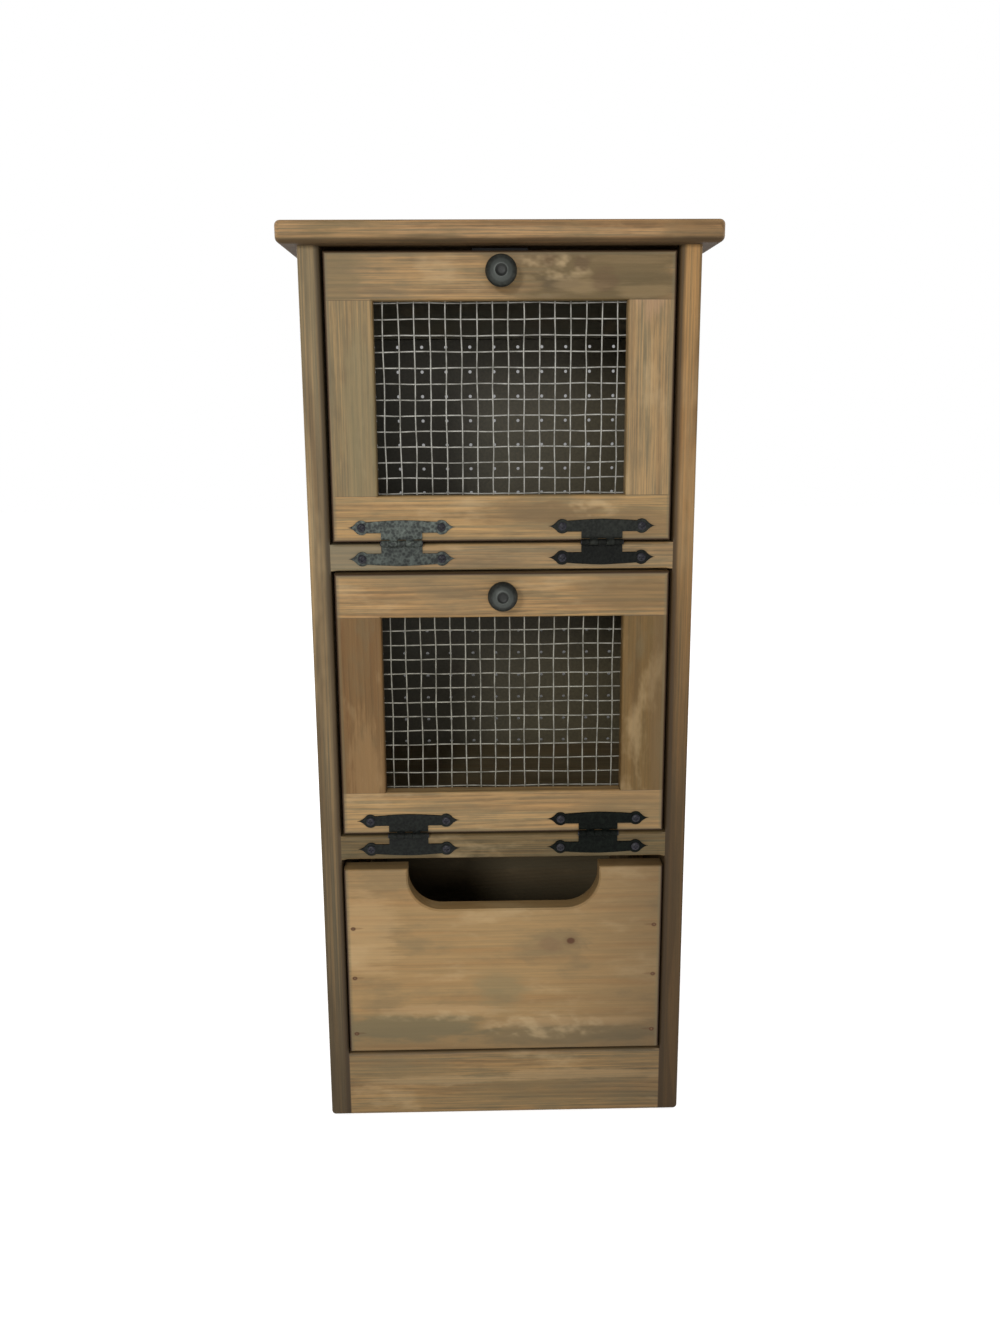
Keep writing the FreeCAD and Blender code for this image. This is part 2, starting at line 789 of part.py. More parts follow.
def make_mesh(door, window):
    """Half-inch welded mesh: a layer of upright wires, with a layer of cross wires behind."""
    middle = "(%s + %s) / 2" % window
    half_height = "(%s - (%s)) / 2 + mesh_lap" % (window[1], window[0])
    half_width = "half_window + mesh_lap"
    half_wire = "mesh_wire / 2"
    upright = 2 * math.floor(value("(%s) / mesh_pitch + 0.5" % half_width))
    across = 1 + 2 * math.floor(value("(%s) / mesh_pitch" % half_height))
    wires = []
    for number in range(upright):
        x = "%.1f * mesh_pitch" % (number - (upright - 1) / 2)
        wires.append(
            block(
                ("%s - %s" % (x, half_wire), "%s + %s" % (x, half_wire)),
                ("mesh_face", "mesh_face + mesh_wire"),
                ("%s - (%s)" % (middle, half_height), "%s + (%s)" % (middle, half_height)),
            )
        )
    for number in range(across):
        z = "%s + %d * mesh_pitch" % (middle, number - across // 2)
        wires.append(
            block(
                (minus(half_width), half_width),
                ("mesh_face + mesh_wire", "mesh_back"),
                ("%s - %s" % (z, half_wire), "%s + %s" % (z, half_wire)),
            )
        )
    keep(group(wires), "%s_mesh" % door)


STAPLED_UPRIGHTS = (-4.5, 4.5)
STAPLED_CROSSES = (-3, 3)


def staple_places(window):
    """Each staple as (member, x, z, runs along x): on the rails it straddles an upright wire, and
    on the stiles a cross wire, counted from the middle of the mesh."""
    middle = "(%s + %s) / 2" % window
    edge = "mesh_rebate / 2"
    places = []
    for wire in STAPLED_UPRIGHTS:
        x = "%.1f * mesh_pitch" % wire
        places.append(("bottom_rail", x, "%s - %s" % (window[0], edge), True))
        places.append(("top_rail", x, "%s + %s" % (window[1], edge), True))
    for wire in STAPLED_CROSSES:
        z = "%s + %d * mesh_pitch" % (middle, wire)
        places.append(("left_stile", "-half_window - %s" % edge, z, False))
        places.append(("right_stile", "half_window + %s" % edge, z, False))
    return places


def staple_leg(x, z, runs_along_x, sign, start, end):
    """One leg of a staple, or its slot in the wood."""
    shift = "%d * (staple_crown - staple_wire) / 2" % sign
    if runs_along_x:
        x = "%s + %s" % (x, shift)
    else:
        z = "%s + %s" % (z, shift)
    half = "staple_wire / 2"
    return block(
        ("%s - %s" % (x, half), "%s + %s" % (x, half)),
        (start, end),
        ("%s - %s" % (z, half), "%s + %s" % (z, half)),
    )


def staple_slots(member, window):
    return [
        staple_leg(x, z, along, sign, "mesh_back - staple_leg", "mesh_face")
        for name, x, z, along in staple_places(window)
        if name == member
        for sign in (-1, 1)
    ]


def make_staples(door, window):
    staples = []
    for _member, x, z, along in staple_places(window):
        half_crown, half_wire = "staple_crown / 2", "staple_wire / 2"
        wide, high = (half_crown, half_wire) if along else (half_wire, half_crown)
        crown = block(
            ("%s - %s" % (x, wide), "%s + %s" % (x, wide)),
            ("mesh_back", "mesh_back + staple_wire"),
            ("%s - %s" % (z, high), "%s + %s" % (z, high)),
        )
        legs = [
            staple_leg(x, z, along, sign, "mesh_back - staple_leg", "mesh_back")
            for sign in (-1, 1)
        ]
        staples.append(fuse([crown] + legs))
    keep(group(staples), "%s_staples" % door)


def flat_sided_solid(rings):
    """A closed solid through rings of points, with a flat face from each side to the next ring."""
    walls = [
        Part.Face(Part.makePolygon([lower[a], lower[b], upper[b], upper[a], lower[a]]))
        for lower, upper in zip(rings, rings[1:])
        for a, b in zip(range(len(lower)), list(range(1, len(lower))) + [0])
    ]
    ends = [Part.Face(Part.makePolygon(ring + ring[:1])) for ring in (rings[0], rings[-1])]
    return Part.makeSolid(Part.makeShell(walls + ends))


def make_knob(door, height):
    """A turned knob with a flange, a waisted neck and a domed head, in rings of flat sides, and
    the screw that holds it."""
    profile = (
        ("knob_base", "0"),
        ("knob_base", "knob_flange"),
        ("knob_neck", "knob_waist"),
        ("(knob_neck + knob_diameter) / 2", "(knob_waist + 2 * knob_rim_back) / 3"),
        ("knob_diameter", "knob_rim_back"),
        ("knob_diameter", "knob_rim_front"),
        ("knob_ring", "knob_reach - knob_dome"),
        ("knob_ring / 2", "knob_reach"),
    )
    rings = [
        [
            V(value(diameter) / 2 * math.cos(angle), value(diameter) / 2 * math.sin(angle), value(rise))
            for angle in [2 * math.pi * number / KNOB_SIDES for number in range(KNOB_SIDES)]
        ]
        for diameter, rise in profile
    ]
    turned = doc.addObject("Part::Feature", "Turned")
    turned.Shape = flat_sided_solid(rings)
    turned.Placement.Rotation = DIRECTIONS["-y"]
    place(turned, "0", "front", height)
    hole = knob_bore("-y", "knob_screw_grip + screw_clearance", height)
    keep(cut(turned, [hole]), "%s_knob" % door)
    start = ("0", "door_back", height)
    stem = shank("-y", "knob_screw", "door_thickness + knob_screw_grip", start, HEAD_SIDES)
    head = shank("y", "knob_screw_head", "knob_screw_head_height", start, HEAD_SIDES)
    keep(fuse([stem, head]), "%s_knob_screw" % door)


def knob_bore(direction, depth, height):
    """The hole for the knob's screw, from the front of the door."""
    start = ("0", "front", height)
    across_corners = "(knob_screw + 2 * screw_clearance) / cos(180 deg / %d)" % HEAD_SIDES
    return shank(direction, across_corners, depth, start, HEAD_SIDES)


def make_strike(door, head):
    """The steel plate on the door's back that the catch holds."""
    top = "%s - strike_drop" % head
    x = ("-strike_width / 2", "strike_width / 2")
    y = ("door_back", "door_back + strike_thickness")
    keep(block(x, y, ("%s - strike_height" % top, top)), "%s_strike" % door)


def make_catches():
    """A magnetic catch under the head of each door's bay."""
    face = "door_back + strike_thickness + catch_gap"
    for name, ceiling in (("lower_catch", "upper_rail"), ("upper_catch", "carcass_top")):
        x = ("-catch_width / 2", "catch_width / 2")
        z = ("%s - catch_height" % ceiling, ceiling)
        keep(block(x, (face, "%s + catch_depth" % face), z), name)


# ---------------------------------------------------------------- bin


def make_bin():
    """The pull-out bin: a solid front with a hand cut-out, nailed to a thin box."""
    body = add_body("BinFront")
    sketch = add_sketch(body, "XZ_Plane", "FrontView", "-front")
    half = "cutout_width / 2"
    low = "bin_top - cutout_depth"
    turn = "%s + cutout_radius" % low
    draw(
        sketch,
        [
            ("-half_bin", "bin_foot"),
            ("half_bin", "bin_foot"),
            ("half_bin", "bin_top"),
            (half, "bin_top"),
            (half, turn, "cutout_radius", 1),
            ("%s - cutout_radius" % half, low),
            (minus("%s - cutout_radius" % half), low, "cutout_radius", 1),
            (minus(half), turn),
            (minus(half), "bin_top"),
            ("-half_bin", "bin_top"),
        ],
    )
    pad(body, sketch, "bin_front_thickness", towards_back=True)
    front = value("front")
    hollow = value("half_bin - bin_arris")
    brink = value("bin_foot + bin_arris")

    def around_cutout(edge):
        inward = all(abs(vertex.X) < hollow and vertex.Z > brink for vertex in edge.Vertexes)
        return lies_at(edge, "y", front) and inward

    def around_outside(edge):
        return lies_at(edge, "y", front) and not around_cutout(edge)

    ease_edges(body, "cutout_chamfer", around_cutout, "PartDesign::Chamfer", "Size")
    ease_edges(body, "bin_arris", around_outside)
    groove = block(*floor_board(), "FloorGroove")
    nails = bin_nails()
    keep(cut(body, [groove] + nails["front"]), "bin_front")

    wall_z = ("bin_wall_foot", "bin_wall_top")
    for name, sign in (("left", -1), ("right", 1)):
        wall = block(span(sign, "half_bin_inside", "half_bin"), ("bin_front_back", "bin_end"), wall_z)
        tools = [groove] + nails["front"] + nails[name]
        keep(cut(wall, tools), "bin_%s_side" % name)
    inside = ("-half_bin_inside", "half_bin_inside")
    back = block(inside, ("bin_end - bin_wall", "bin_end"), wall_z)
    keep(cut(back, [groove] + nails["left"] + nails["right"]), "bin_back")
    keep(block(*floor_board()), "bin_floor")
    keep(group(sum(nails.values(), [])), "bin_nails")


def floor_board():
    """The bin's thin bottom, held in a groove all round."""
    return (
        ("-half_bin_inside - bin_groove", "half_bin_inside + bin_groove"),
        ("bin_front_back - bin_groove", "bin_end - bin_wall + bin_groove"),
        ("bin_floor", "bin_floor + bin_floor_thickness"),
    )


def bin_nails():
    """Nails through the front into the sides, and through the sides into the back."""
    upper, lower = "bin_top - nail_drop", "bin_foot + nail_rise"
    heights = (upper, "(%s + %s) / 2 + nail_middle_lift" % (upper, lower), lower)
    front = [
        shank(
            "y",
            "nail_diameter",
            "nail_length",
            ("%d * (half_bin - bin_wall / 2)" % sign, "front", height),
        )
        for sign in (-1, 1)
        for height in heights
    ]
    nails = {"front": front}
    for name, sign in (("left", -1), ("right", 1)):
        start = "-half_bin" if sign < 0 else "half_bin - nail_length"
        nails[name] = [
            shank(
                "x",
                "nail_diameter",
                "nail_length",
                (start, "bin_end - bin_wall / 2", "bin_wall_foot + %s * bin_side_height" % share),
            )
            for share in ("nail_share", "(1 - nail_share)")
        ]
    return nails


# ---------------------------------------------------------------- build, check and write

doc = FreeCAD.newDocument("VegetableCabinet")
sizes = fill_sheet("Sizes", SIZES, str)
layout = fill_sheet("Layout", LAYOUT, lambda text: "=" + qualified(text, own="Layout"))
parts = []

routed_front = make_routed_front()
make_sides(routed_front)
make_rails(routed_front)
make_shelves()
make_back()
make_top()
make_cleats()
make_carcass_nails()
make_catches()
make_door("upper_door", "upper_floor")
make_door("lower_door", "lower_floor")
make_pins()
make_leaf_screws("upper_cabinet_leaf_screws", "upper_floor", "axis_lift - lobe_centre")
make_leaf_screws("lower_cabinet_leaf_screws", "lower_floor", "axis_lift - lobe_centre")
make_bin()
doc.recompute()

failed = [item.Label for item in doc.Objects if {"Invalid", "Error"} & set(item.State)]
failed += [part.Label for part in parts if part.Shape.isNull() or not part.Shape.isValid()]
if failed:
    raise RuntimeError("These objects failed: " + ", ".join(failed))
os.makedirs("parts", exist_ok=True)
for part in parts:
    part.Shape.exportStep("parts/%s.step" % part.Label)
print("%d sub-parts written" % len(parts))
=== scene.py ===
import math
import bmesh
import bpy
import numpy as np
from mathutils import Matrix, Vector


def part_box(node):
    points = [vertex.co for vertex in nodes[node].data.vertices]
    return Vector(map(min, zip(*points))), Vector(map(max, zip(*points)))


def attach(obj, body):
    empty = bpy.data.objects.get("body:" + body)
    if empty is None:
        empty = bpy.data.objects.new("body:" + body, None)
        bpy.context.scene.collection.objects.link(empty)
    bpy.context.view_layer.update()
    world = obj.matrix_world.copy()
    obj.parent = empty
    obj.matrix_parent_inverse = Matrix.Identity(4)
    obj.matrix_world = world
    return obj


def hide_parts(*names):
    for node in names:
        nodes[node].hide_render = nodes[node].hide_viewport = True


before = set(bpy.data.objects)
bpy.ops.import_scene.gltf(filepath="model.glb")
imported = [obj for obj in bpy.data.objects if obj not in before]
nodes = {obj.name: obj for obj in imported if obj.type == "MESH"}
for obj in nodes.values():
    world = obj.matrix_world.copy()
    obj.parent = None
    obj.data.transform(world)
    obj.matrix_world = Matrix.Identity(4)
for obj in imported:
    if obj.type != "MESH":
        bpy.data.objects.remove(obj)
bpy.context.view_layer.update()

# ---------------------------------------------------------------- the camera
# A hand-held camera about a metre from the cabinet and a little below its top,
# tilted down, a touch to the left of the middle and very slightly rolled.

EYE = Vector((-0.0236, -1.1260, 0.6453))
TILT, YAW, ROLL = math.radians(12.74), math.radians(-1.25), math.radians(-0.33)
FOCAL_LENGTH, SENSOR = 31.95, 36.0
lens = bpy.data.cameras.new("view")
lens.lens, lens.sensor_width = FOCAL_LENGTH, SENSOR
camera = bpy.data.objects.new("view", lens)
bpy.context.scene.collection.objects.link(camera)
camera.matrix_world = (
    Matrix.Translation(EYE)
    @ Matrix.Rotation(YAW, 4, "Z")
    @ Matrix.Rotation(math.pi / 2 - TILT, 4, "X")
    @ Matrix.Rotation(ROLL, 4, "Z")
)
bpy.context.scene.camera = camera
bpy.context.scene.view_settings.view_transform = "Standard"

# ---------------------------------------------------------------- the studio
# A pale floor with no end in sight and a white surround. The main lamp, left of the camera,
# reaches through the doors' mesh to the right half of the back. A weaker one beside it fills
# its shadows, and one behind on either side lights the sides and the back.


class Field:
    """One socket of a node tree: a number, colour or vector that varies over a surface."""

    def __init__(self, tree, socket):
        self.tree, self.socket = tree, socket

    def node(self, kind, settings, sockets, output=0):
        """Adds a node. Its settings come first, then each socket gets its value or link."""
        made = self.tree.nodes.new(kind)
        for name, value in settings.items():
            setattr(made, name, value)
        for name, value in sockets.items():
            if isinstance(value, Field):
                self.tree.links.new(value.socket, made.inputs[name])
            else:
                made.inputs[name].default_value = value
        return Field(self.tree, made.outputs[output])

    def math(self, operation, *values):
        return self.node("ShaderNodeMath", {"operation": operation}, dict(enumerate(values)))

    def __add__(self, other):
        return self.math("ADD", self, other)

    __radd__ = __add__

    def __sub__(self, other):
        return self.math("SUBTRACT", self, other)

    def __rsub__(self, other):
        return self.math("SUBTRACT", other, self)

    def __mul__(self, other):
        return self.math("MULTIPLY", self, other)

    __rmul__ = __mul__

    def __truediv__(self, other):
        return self.math("DIVIDE", self, other)

    def __pow__(self, other):
        return self.math("POWER", self, other)

    def __abs__(self):
        return self.math("ABSOLUTE", self)

    def larger(self, other):
        return self.math("MAXIMUM", self, other)

    def smaller(self, other):
        return self.math("MINIMUM", self, other)

    def fraction(self):
        return self.math("FRACT", self)

    def rise(self, low, high):
        """0 below low, 1 above high, with a smooth step between."""
        smooth = {"interpolation_type": "SMOOTHSTEP"}
        return self.node("ShaderNodeMapRange", smooth, {0: self, 1: low, 2: high})

    def tint(self, under, over):
        """The colour under where this is 0, and the colour over where it is 1."""
        return self.node("ShaderNodeMix", {"data_type": "RGBA"}, {0: self, 6: under, 7: over}, 2)


def empty_tree(owner, output):
    """Clears the nodes of a material or the world: its tree, and its output node."""
    owner.use_nodes = True
    tree = owner.node_tree
    tree.nodes.clear()
    return tree, tree.nodes.new(output)


def source(tree, kind, name):
    """A named output of a node that has no inputs, such as Light Path."""
    return Field(tree, tree.nodes.new(kind).outputs[name])


def flat_sheet(name, finish, corners):
    """A flat sheet in metres with an empty material: the object, and the material's nodes."""
    mesh = bpy.data.meshes.new(name)
    mesh.from_pydata(corners, [], [(0, 1, 2, 3)])
    thing = bpy.data.objects.new(name, mesh)
    bpy.context.scene.collection.objects.link(thing)
    material = bpy.data.materials.new(finish)
    mesh.materials.append(material)
    return thing, *empty_tree(material, "ShaderNodeOutputMaterial")


# The floor is a matt pale grey, lifted to white for the camera and for shiny pieces.
WHITE = (1, 1, 1, 1)
FLOOR_HALF, FLOOR_Z = 6.0, -0.0003
FLOOR_TONE, FLOOR_LIFT = (0.86, 0.86, 0.86, 1.0), 0.62
floor, tree, out = flat_sheet("floor", "pale_floor", [
    (-FLOOR_HALF, -FLOOR_HALF, FLOOR_Z), (FLOOR_HALF, -FLOOR_HALF, FLOOR_Z),
    (FLOOR_HALF, FLOOR_HALF, FLOOR_Z), (-FLOOR_HALF, FLOOR_HALF, FLOOR_Z),
])
seen = source(tree, "ShaderNodeLightPath", "Is Camera Ray")
seen = seen + source(tree, "ShaderNodeLightPath", "Is Glossy Ray")
matt = seen.node("ShaderNodeBsdfDiffuse", {}, {"Color": FLOOR_TONE})
lift = seen.node("ShaderNodeEmission", {}, {"Color": WHITE, "Strength": seen * FLOOR_LIFT})
whole = seen.node("ShaderNodeAddShader", {}, {0: matt, 1: lift})
tree.links.new(whole.socket, out.inputs["Surface"])

# The surround is white to the camera, and lights the cabinet with this share of white.
FILL = 0.50
world = bpy.data.worlds.new("surround")
bpy.context.scene.world = world
tree, out = empty_tree(world, "ShaderNodeOutputWorld")
seen = source(tree, "ShaderNodeLightPath", "Is Camera Ray")
seen = seen.larger(source(tree, "ShaderNodeLightPath", "Is Transmission Ray"))
sky = seen.node("ShaderNodeBackground", {}, {"Color": WHITE, "Strength": FILL + seen * (1 - FILL)})
tree.links.new(sky.socket, out.inputs["Surface"])

# What the holes of the back look out on: a card that glows grey from the front and is clear
# from behind, paler towards its top, narrower than the cabinet and out of every lamp's way.
# Its glowing grey is painted shade, standing for the shadowed room behind the cabinet.
CARD_HALF, CARD_Y, CARD_FOOT, CARD_HEAD = 0.135, 0.178, 0.02, 0.77
CARD_DARK, CARD_PALER, CARD_FROM, CARD_TO = 0.11, 0.28, 0.28, 0.80
card, tree, out = flat_sheet("card", "painted_shade_card", [
    (-CARD_HALF, CARD_Y, CARD_FOOT), (CARD_HALF, CARD_Y, CARD_FOOT),
    (CARD_HALF, CARD_Y, CARD_HEAD), (-CARD_HALF, CARD_Y, CARD_HEAD),
])
seen = source(tree, "ShaderNodeLightPath", "Is Camera Ray")
behind = source(tree, "ShaderNodeNewGeometry", "Backfacing")
place = source(tree, "ShaderNodeTexCoord", "Object")
height = place.node("ShaderNodeSeparateXYZ", {}, {0: place}, 2)
# painted shade: the card glows darker at its foot and paler towards its top
grey = CARD_DARK + height.rise(CARD_FROM, CARD_TO) * CARD_PALER
glow = place.node("ShaderNodeEmission", {}, {"Color": WHITE, "Strength": grey})
clear = place.node("ShaderNodeBsdfTransparent", {}, {})
whole = place.node("ShaderNodeMixShader", {}, {0: seen * (1 - behind), 1: clear, 2: glow})
tree.links.new(whole.socket, out.inputs["Surface"])


def lamp(name, place, target, size, power):
    """A square soft box that faces a point."""
    light = bpy.data.lights.new(name, "AREA")
    light.size, light.energy = size, power
    holder = bpy.data.objects.new(name, light)
    bpy.context.scene.collection.objects.link(holder)
    holder.location = place
    holder.rotation_mode = "QUATERNION"
    holder.rotation_quaternion = (Vector(target) - Vector(place)).to_track_quat("-Z", "Y")


lamp("main_lamp", (-0.75, -2.75, 1.25), (0, 0, 0.45), 0.45, 30)
lamp("fill_lamp", (0.12, -2.60, 0.85), (0, 0, 0.45), 0.60, 11)
lamp("right_lamp", (2.6, 1.2, 1.5), (0, 0, 0.4), 1.2, 26)
lamp("left_lamp", (-2.6, 1.6, 1.5), (0, 0, 0.4), 1.2, 26)

# ---------------------------------------------------------------- the pine carcass
# Two sides, rails, shelves and a thick top of knotty pine, nailed together. The boards are
# planed and brushed with a thin brown stain that took unevenly. Grain runs along each board.

FRONT = -145.75  # the faces of the doors


def dress(node, material):
    """Gives a CAD piece its finish."""
    mesh = nodes[node].data
    mesh.materials.clear()
    mesh.materials.append(material)


def new_material(name):
    """A material with only its shader, and the place in space of the surface."""
    material = bpy.data.materials.new(name)
    tree, out = empty_tree(material, "ShaderNodeOutputMaterial")
    shader = tree.nodes.new("ShaderNodeBsdfPrincipled")
    tree.links.new(shader.outputs[0], out.inputs["Surface"])
    return material, shader, source(tree, "ShaderNodeTexCoord", "Object")


def connect(shader, **inputs):
    """Links or sets the shader's sockets, whose names have spaces for underscores."""
    for name, value in inputs.items():
        socket = shader.inputs[name.replace("_", " ")]
        if isinstance(value, Field):
            value.tree.links.new(value.socket, socket)
        else:
            socket.default_value = value


def coordinates(place, middle=(0, 0, 0)):
    """The three coordinates in millimetres from a middle point given in millimetres."""
    return [
        place.node("ShaderNodeSeparateXYZ", {}, {0: place}, axis) * 1000 - middle[axis]
        for axis in range(3)
    ]


def cloud(parts, detail=2.0, roughness=0.5):
    """Smooth noise from 0 to 1 at a point whose coordinates are already scaled."""
    first = next(part for part in parts if isinstance(part, Field))
    point = first.node("ShaderNodeCombineXYZ", {}, dict(enumerate(parts)))
    sockets = {"Vector": point, "Scale": 1.0, "Detail": detail, "Roughness": roughness}
    return first.node("ShaderNodeTexNoise", {"noise_dimensions": "3D"}, sockets)


def spot(along, across, at_along, at_across, reach_along, reach_across):
    """The squared distance from a point, which is 1 on an ellipse with that reach."""
    return ((along - at_along) / reach_along) ** 2 + ((across - at_across) / reach_across) ** 2


def colour(red, green, blue):
    """A colour as seen on a screen, 0 to 255, as the linear light that shaders use."""
    parts = [c / 255 for c in (red, green, blue)]
    linear = [c / 12.92 if c < 0.04045 else ((c + 0.055) / 1.055) ** 2.4 for c in parts]
    return (*linear, 1.0)


GREY = colour(102, 90, 64)  # weathered stain
PALE = colour(186, 160, 118)  # bare wood where the stain didn't take, and the painted sheen of curly grain
JOINT_DIRT_AND_GAP_SHADE = colour(58, 40, 24)  # dirt in joints, and painted shade on door and bin edges by the gaps
CORE = colour(72, 38, 9)  # knots, and stain round nails
PAINTED_SHADE = colour(52, 40, 25)  # painted shade: by the gaps, under the top, to the right and towards the foot


def pine(
    name, grain, seed, middle, tone,
    rings=0.35, pith=(70, 30), spacing=4.2, streaky=1.0, stained=1.0, shine=0.35,
    wide=None, long=1.0, knots=(), patches=(), patch_depth=None, wisps=(), fades=(),
    marks=(), front=None, seams=(), worn=None,
):
    """Stained pine of one mean tone. The year rings are cylinders round a pith that runs with
    the grain, so a ring's number is the distance from the pith over the ring spacing. Fine
    streaks, pores and stain lie over them. In millimetres, with places from the board's
    middle and levels in the cabinet's frame:

    pith, spacing        where the pith runs, across and into the board, and the rings' spacing
    streaky, stained     strength of the fine streaks and of the stain's patches
    wide, long           the axis that counts as across, and how far patterns stretch along
    knots                along, across, radius
    patches, wisps       along, across, reach along, reach across, strength (and a colour)
    patch_depth          the levels of y between which the patches end
    marks                as wisps, for the stain round nails
    fades                painted shade: axis, lighter level, darker level, strength
    front                painted shade down the front edge: level where light, where dark, strength
    seams                axis, level, half width, and how far from the middle it begins
    worn  the limits in x and z of the door or bin whose corners are rubbed
                     grey and whose edges by the gaps carry painted shade
    """
    warm, cool = np.array(tone) * (1.02, 0.96, 0.87), np.array(tone) * (0.95, 0.98, 0.98)
    light, mid, deep = colour(*(warm * 1.09)), colour(*(cool * 0.85)), colour(*(warm * 0.50))
    ruddy = colour(*(warm * (0.92, 0.84, 0.74)))
    material, shader, place = new_material(name)
    xyz, centre = dict(zip("xyz", coordinates(place, middle))), dict(zip("xyz", middle))
    wide = wide or {"x": "z", "y": "x", "z": "x"}[grain]
    along, across = xyz[grain], xyz[wide]
    deep_in = next(xyz[axis] for axis in "xyz" if axis not in (grain, wide))

    def level(axis):
        """A coordinate in the cabinet's frame."""
        return xyz[axis] + centre[axis]

    # the pith wanders, and the rings waver with it
    lean = cloud((along / 330 + seed * 7.3, seed * 1.7, 0.0), 1.0)
    figure = cloud((along / 130 + seed * 3.1, across / 26 + seed, deep_in / 26), 2.0)
    offset, depth = across - pith[0] - (lean - 0.5) * 22, deep_in - pith[1]
    radius = (offset * offset + depth * depth) ** 0.5 + (figure - 0.5) * 6

    # rings part round each knot
    core = halo = None
    for knot_along, knot_across, size in knots:
        reach = spot(along, across, knot_along, knot_across, 1.25, 1.0) ** 0.5
        reach = reach + (figure - 0.5) * size
        radius = radius - (1 - reach.rise(size, size * 6.0)) * size * 3.2
        heart = 1 - reach.rise(size * 0.5, size * 1.1)
        ring = (1 - reach.rise(size * 0.8, size * 2.4)) * 0.22
        core = heart if core is None else core.larger(heart)
        halo = ring if halo is None else halo.larger(ring)
    phase = (radius / spacing).fraction()
    late = phase.rise(0.2, 0.86) * (1 - phase.rise(0.88, 1.0))

    # five sizes of unevenness, from broad bands to pores
    band = cloud((along / 240 + seed, across / 9 + seed * 4, deep_in / 12), 2.0)
    streak = cloud((along / (90 * long), across / 1.35 + seed * 11, deep_in / 1.6), 4.0, 0.62)
    pores = cloud((along / 13, across / 0.62, deep_in / 0.62 + seed), 2.0)
    blot = (along / (80 * long) + seed * 5.7, across / 34 + seed * 2.3, deep_in / 50)
    stain = cloud(blot, 4.0, 0.62)
    mottle = cloud((along / (30 * long) + seed * 2.9, across / 6.5, deep_in / 8 + seed), 3.0, 0.6)
    wood = (streak.rise(0.34, 0.66) * streaky + (1 - streaky) * 0.5).tint(light, mid)
    wood = (band.rise(0.46, 0.7) * 0.35).tint(wood, ruddy)
    wood = (late * rings * band.rise(0.3, 0.6)).tint(wood, deep)
    wood = (pores.rise(0.52, 0.74) * 0.22 * streaky).tint(wood, deep)
    wood = (mottle.rise(0.5, 0.78) * 0.3 * streaky).tint(wood, deep)
    wood = ((1 - mottle).rise(0.5, 0.75) * (0.12 + 0.28 * streaky)).tint(wood, light)
    wood = (stain.rise(0.5, 0.68) * (0.42 * stained)).tint(wood, GREY)
    wood = ((1 - stain).rise(0.54, 0.72) * (0.34 * stained)).tint(wood, PALE)

    # smudges: ellipses whose edges stray with the stain
    ragged = (stain - 0.5) * 1.2 + (mottle - 0.5) * 1.5 + (streak - 0.5) * 0.8
    for *ellipse, strength, patch_colour in patches:
        mask = 1 - (spot(along, across, *ellipse) ** 0.5 + ragged).rise(0.65, 1.35)
        if patch_depth:
            mask = mask * (1 - level("y").rise(*patch_depth))
        wood = (mask * strength).tint(wood, colour(*patch_colour))

    # curly grain that catches the light, as a painted sheen: slanting pale blotches
    if wisps:
        slant = ((along + across * 0.9) / 17 + seed, (across - along * 0.25) / 11, 0.0)
        slant = cloud(slant, 2.0)
    for *ellipse, strength in wisps:
        mask = 1 - (spot(along, across, *ellipse) + (stain - 0.5)).rise(0.3, 1.2)
        wood = (mask * slant.rise(0.42, 0.72) * strength).tint(wood, PALE)

    # painted shade, from one level of an axis to another, and down the front edge alone
    for axis, lighter_level, darker_level, strength in fades:
        mask = level(axis).rise(min(lighter_level, darker_level), max(lighter_level, darker_level))
        mask = mask if lighter_level < darker_level else 1 - mask
        wood = (mask * strength).tint(wood, PAINTED_SHADE)
    for *ellipse, strength in marks:
        wood = ((1 - spot(along, across, *ellipse).rise(0.2, 1.2)) * strength).tint(wood, CORE)
    if front:
        start, foot, strength = front
        edge = 1 - level("y").rise(FRONT + 2.75, FRONT + 7.75)
        wood = ((1 - level("z").rise(foot, start)) * edge * strength).tint(wood, PAINTED_SHADE)
    if core is not None:
        wood = halo.tint(wood, CORE)
        wood = (core * 0.92).tint(wood, CORE)

    # dark joints, and the rubbed corners that frame a door, with painted shade on its edges by the
    # gaps
    for axis, at, half, beyond in seams:
        outer = abs(xyz["x"]).rise(beyond - 0.5, beyond)
        wood = ((1 - abs(level(axis) - at).rise(half * 0.3, half)) * outer * 0.8).tint(wood, JOINT_DIRT_AND_GAP_SHADE)
    if worn:
        (x0, x1), (z0, z1) = worn
        near_x = (level("x") - x0).smaller(x1 - level("x"))
        near_z = (level("z") - z0).smaller(z1 - level("z"))
        edge = near_x.smaller(near_z)
        corner = 1 - level("y").rise(FRONT + 0.75, FRONT + 2.35) * 0.8
        wood = ((1 - edge.rise(2.2, 4.6)) * (streak + 0.1) * corner).tint(wood, GREY)
        wood = ((1 - edge.rise(0.7, 2.3)) * corner).tint(wood, JOINT_DIRT_AND_GAP_SHADE)

    height = late * 0.3 + pores * 0.7
    sockets = {"Strength": 0.3, "Distance": 0.0004, "Height": height}
    bump = height.node("ShaderNodeBump", {}, sockets)
    rough = 0.5 + streak * 0.2
    connect(shader, Base_Color=wood, Roughness=rough, Normal=bump, Specular_IOR_Level=shine)
    return material


def board(node, grain, seed, tone, **finish):
    """Finishes one board in pine, with its pattern centred on the board."""
    low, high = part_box(node)
    middle = tuple((low + high) * 500)
    dress(node, pine(node + "_pine", grain, seed, middle, tone, **finish))


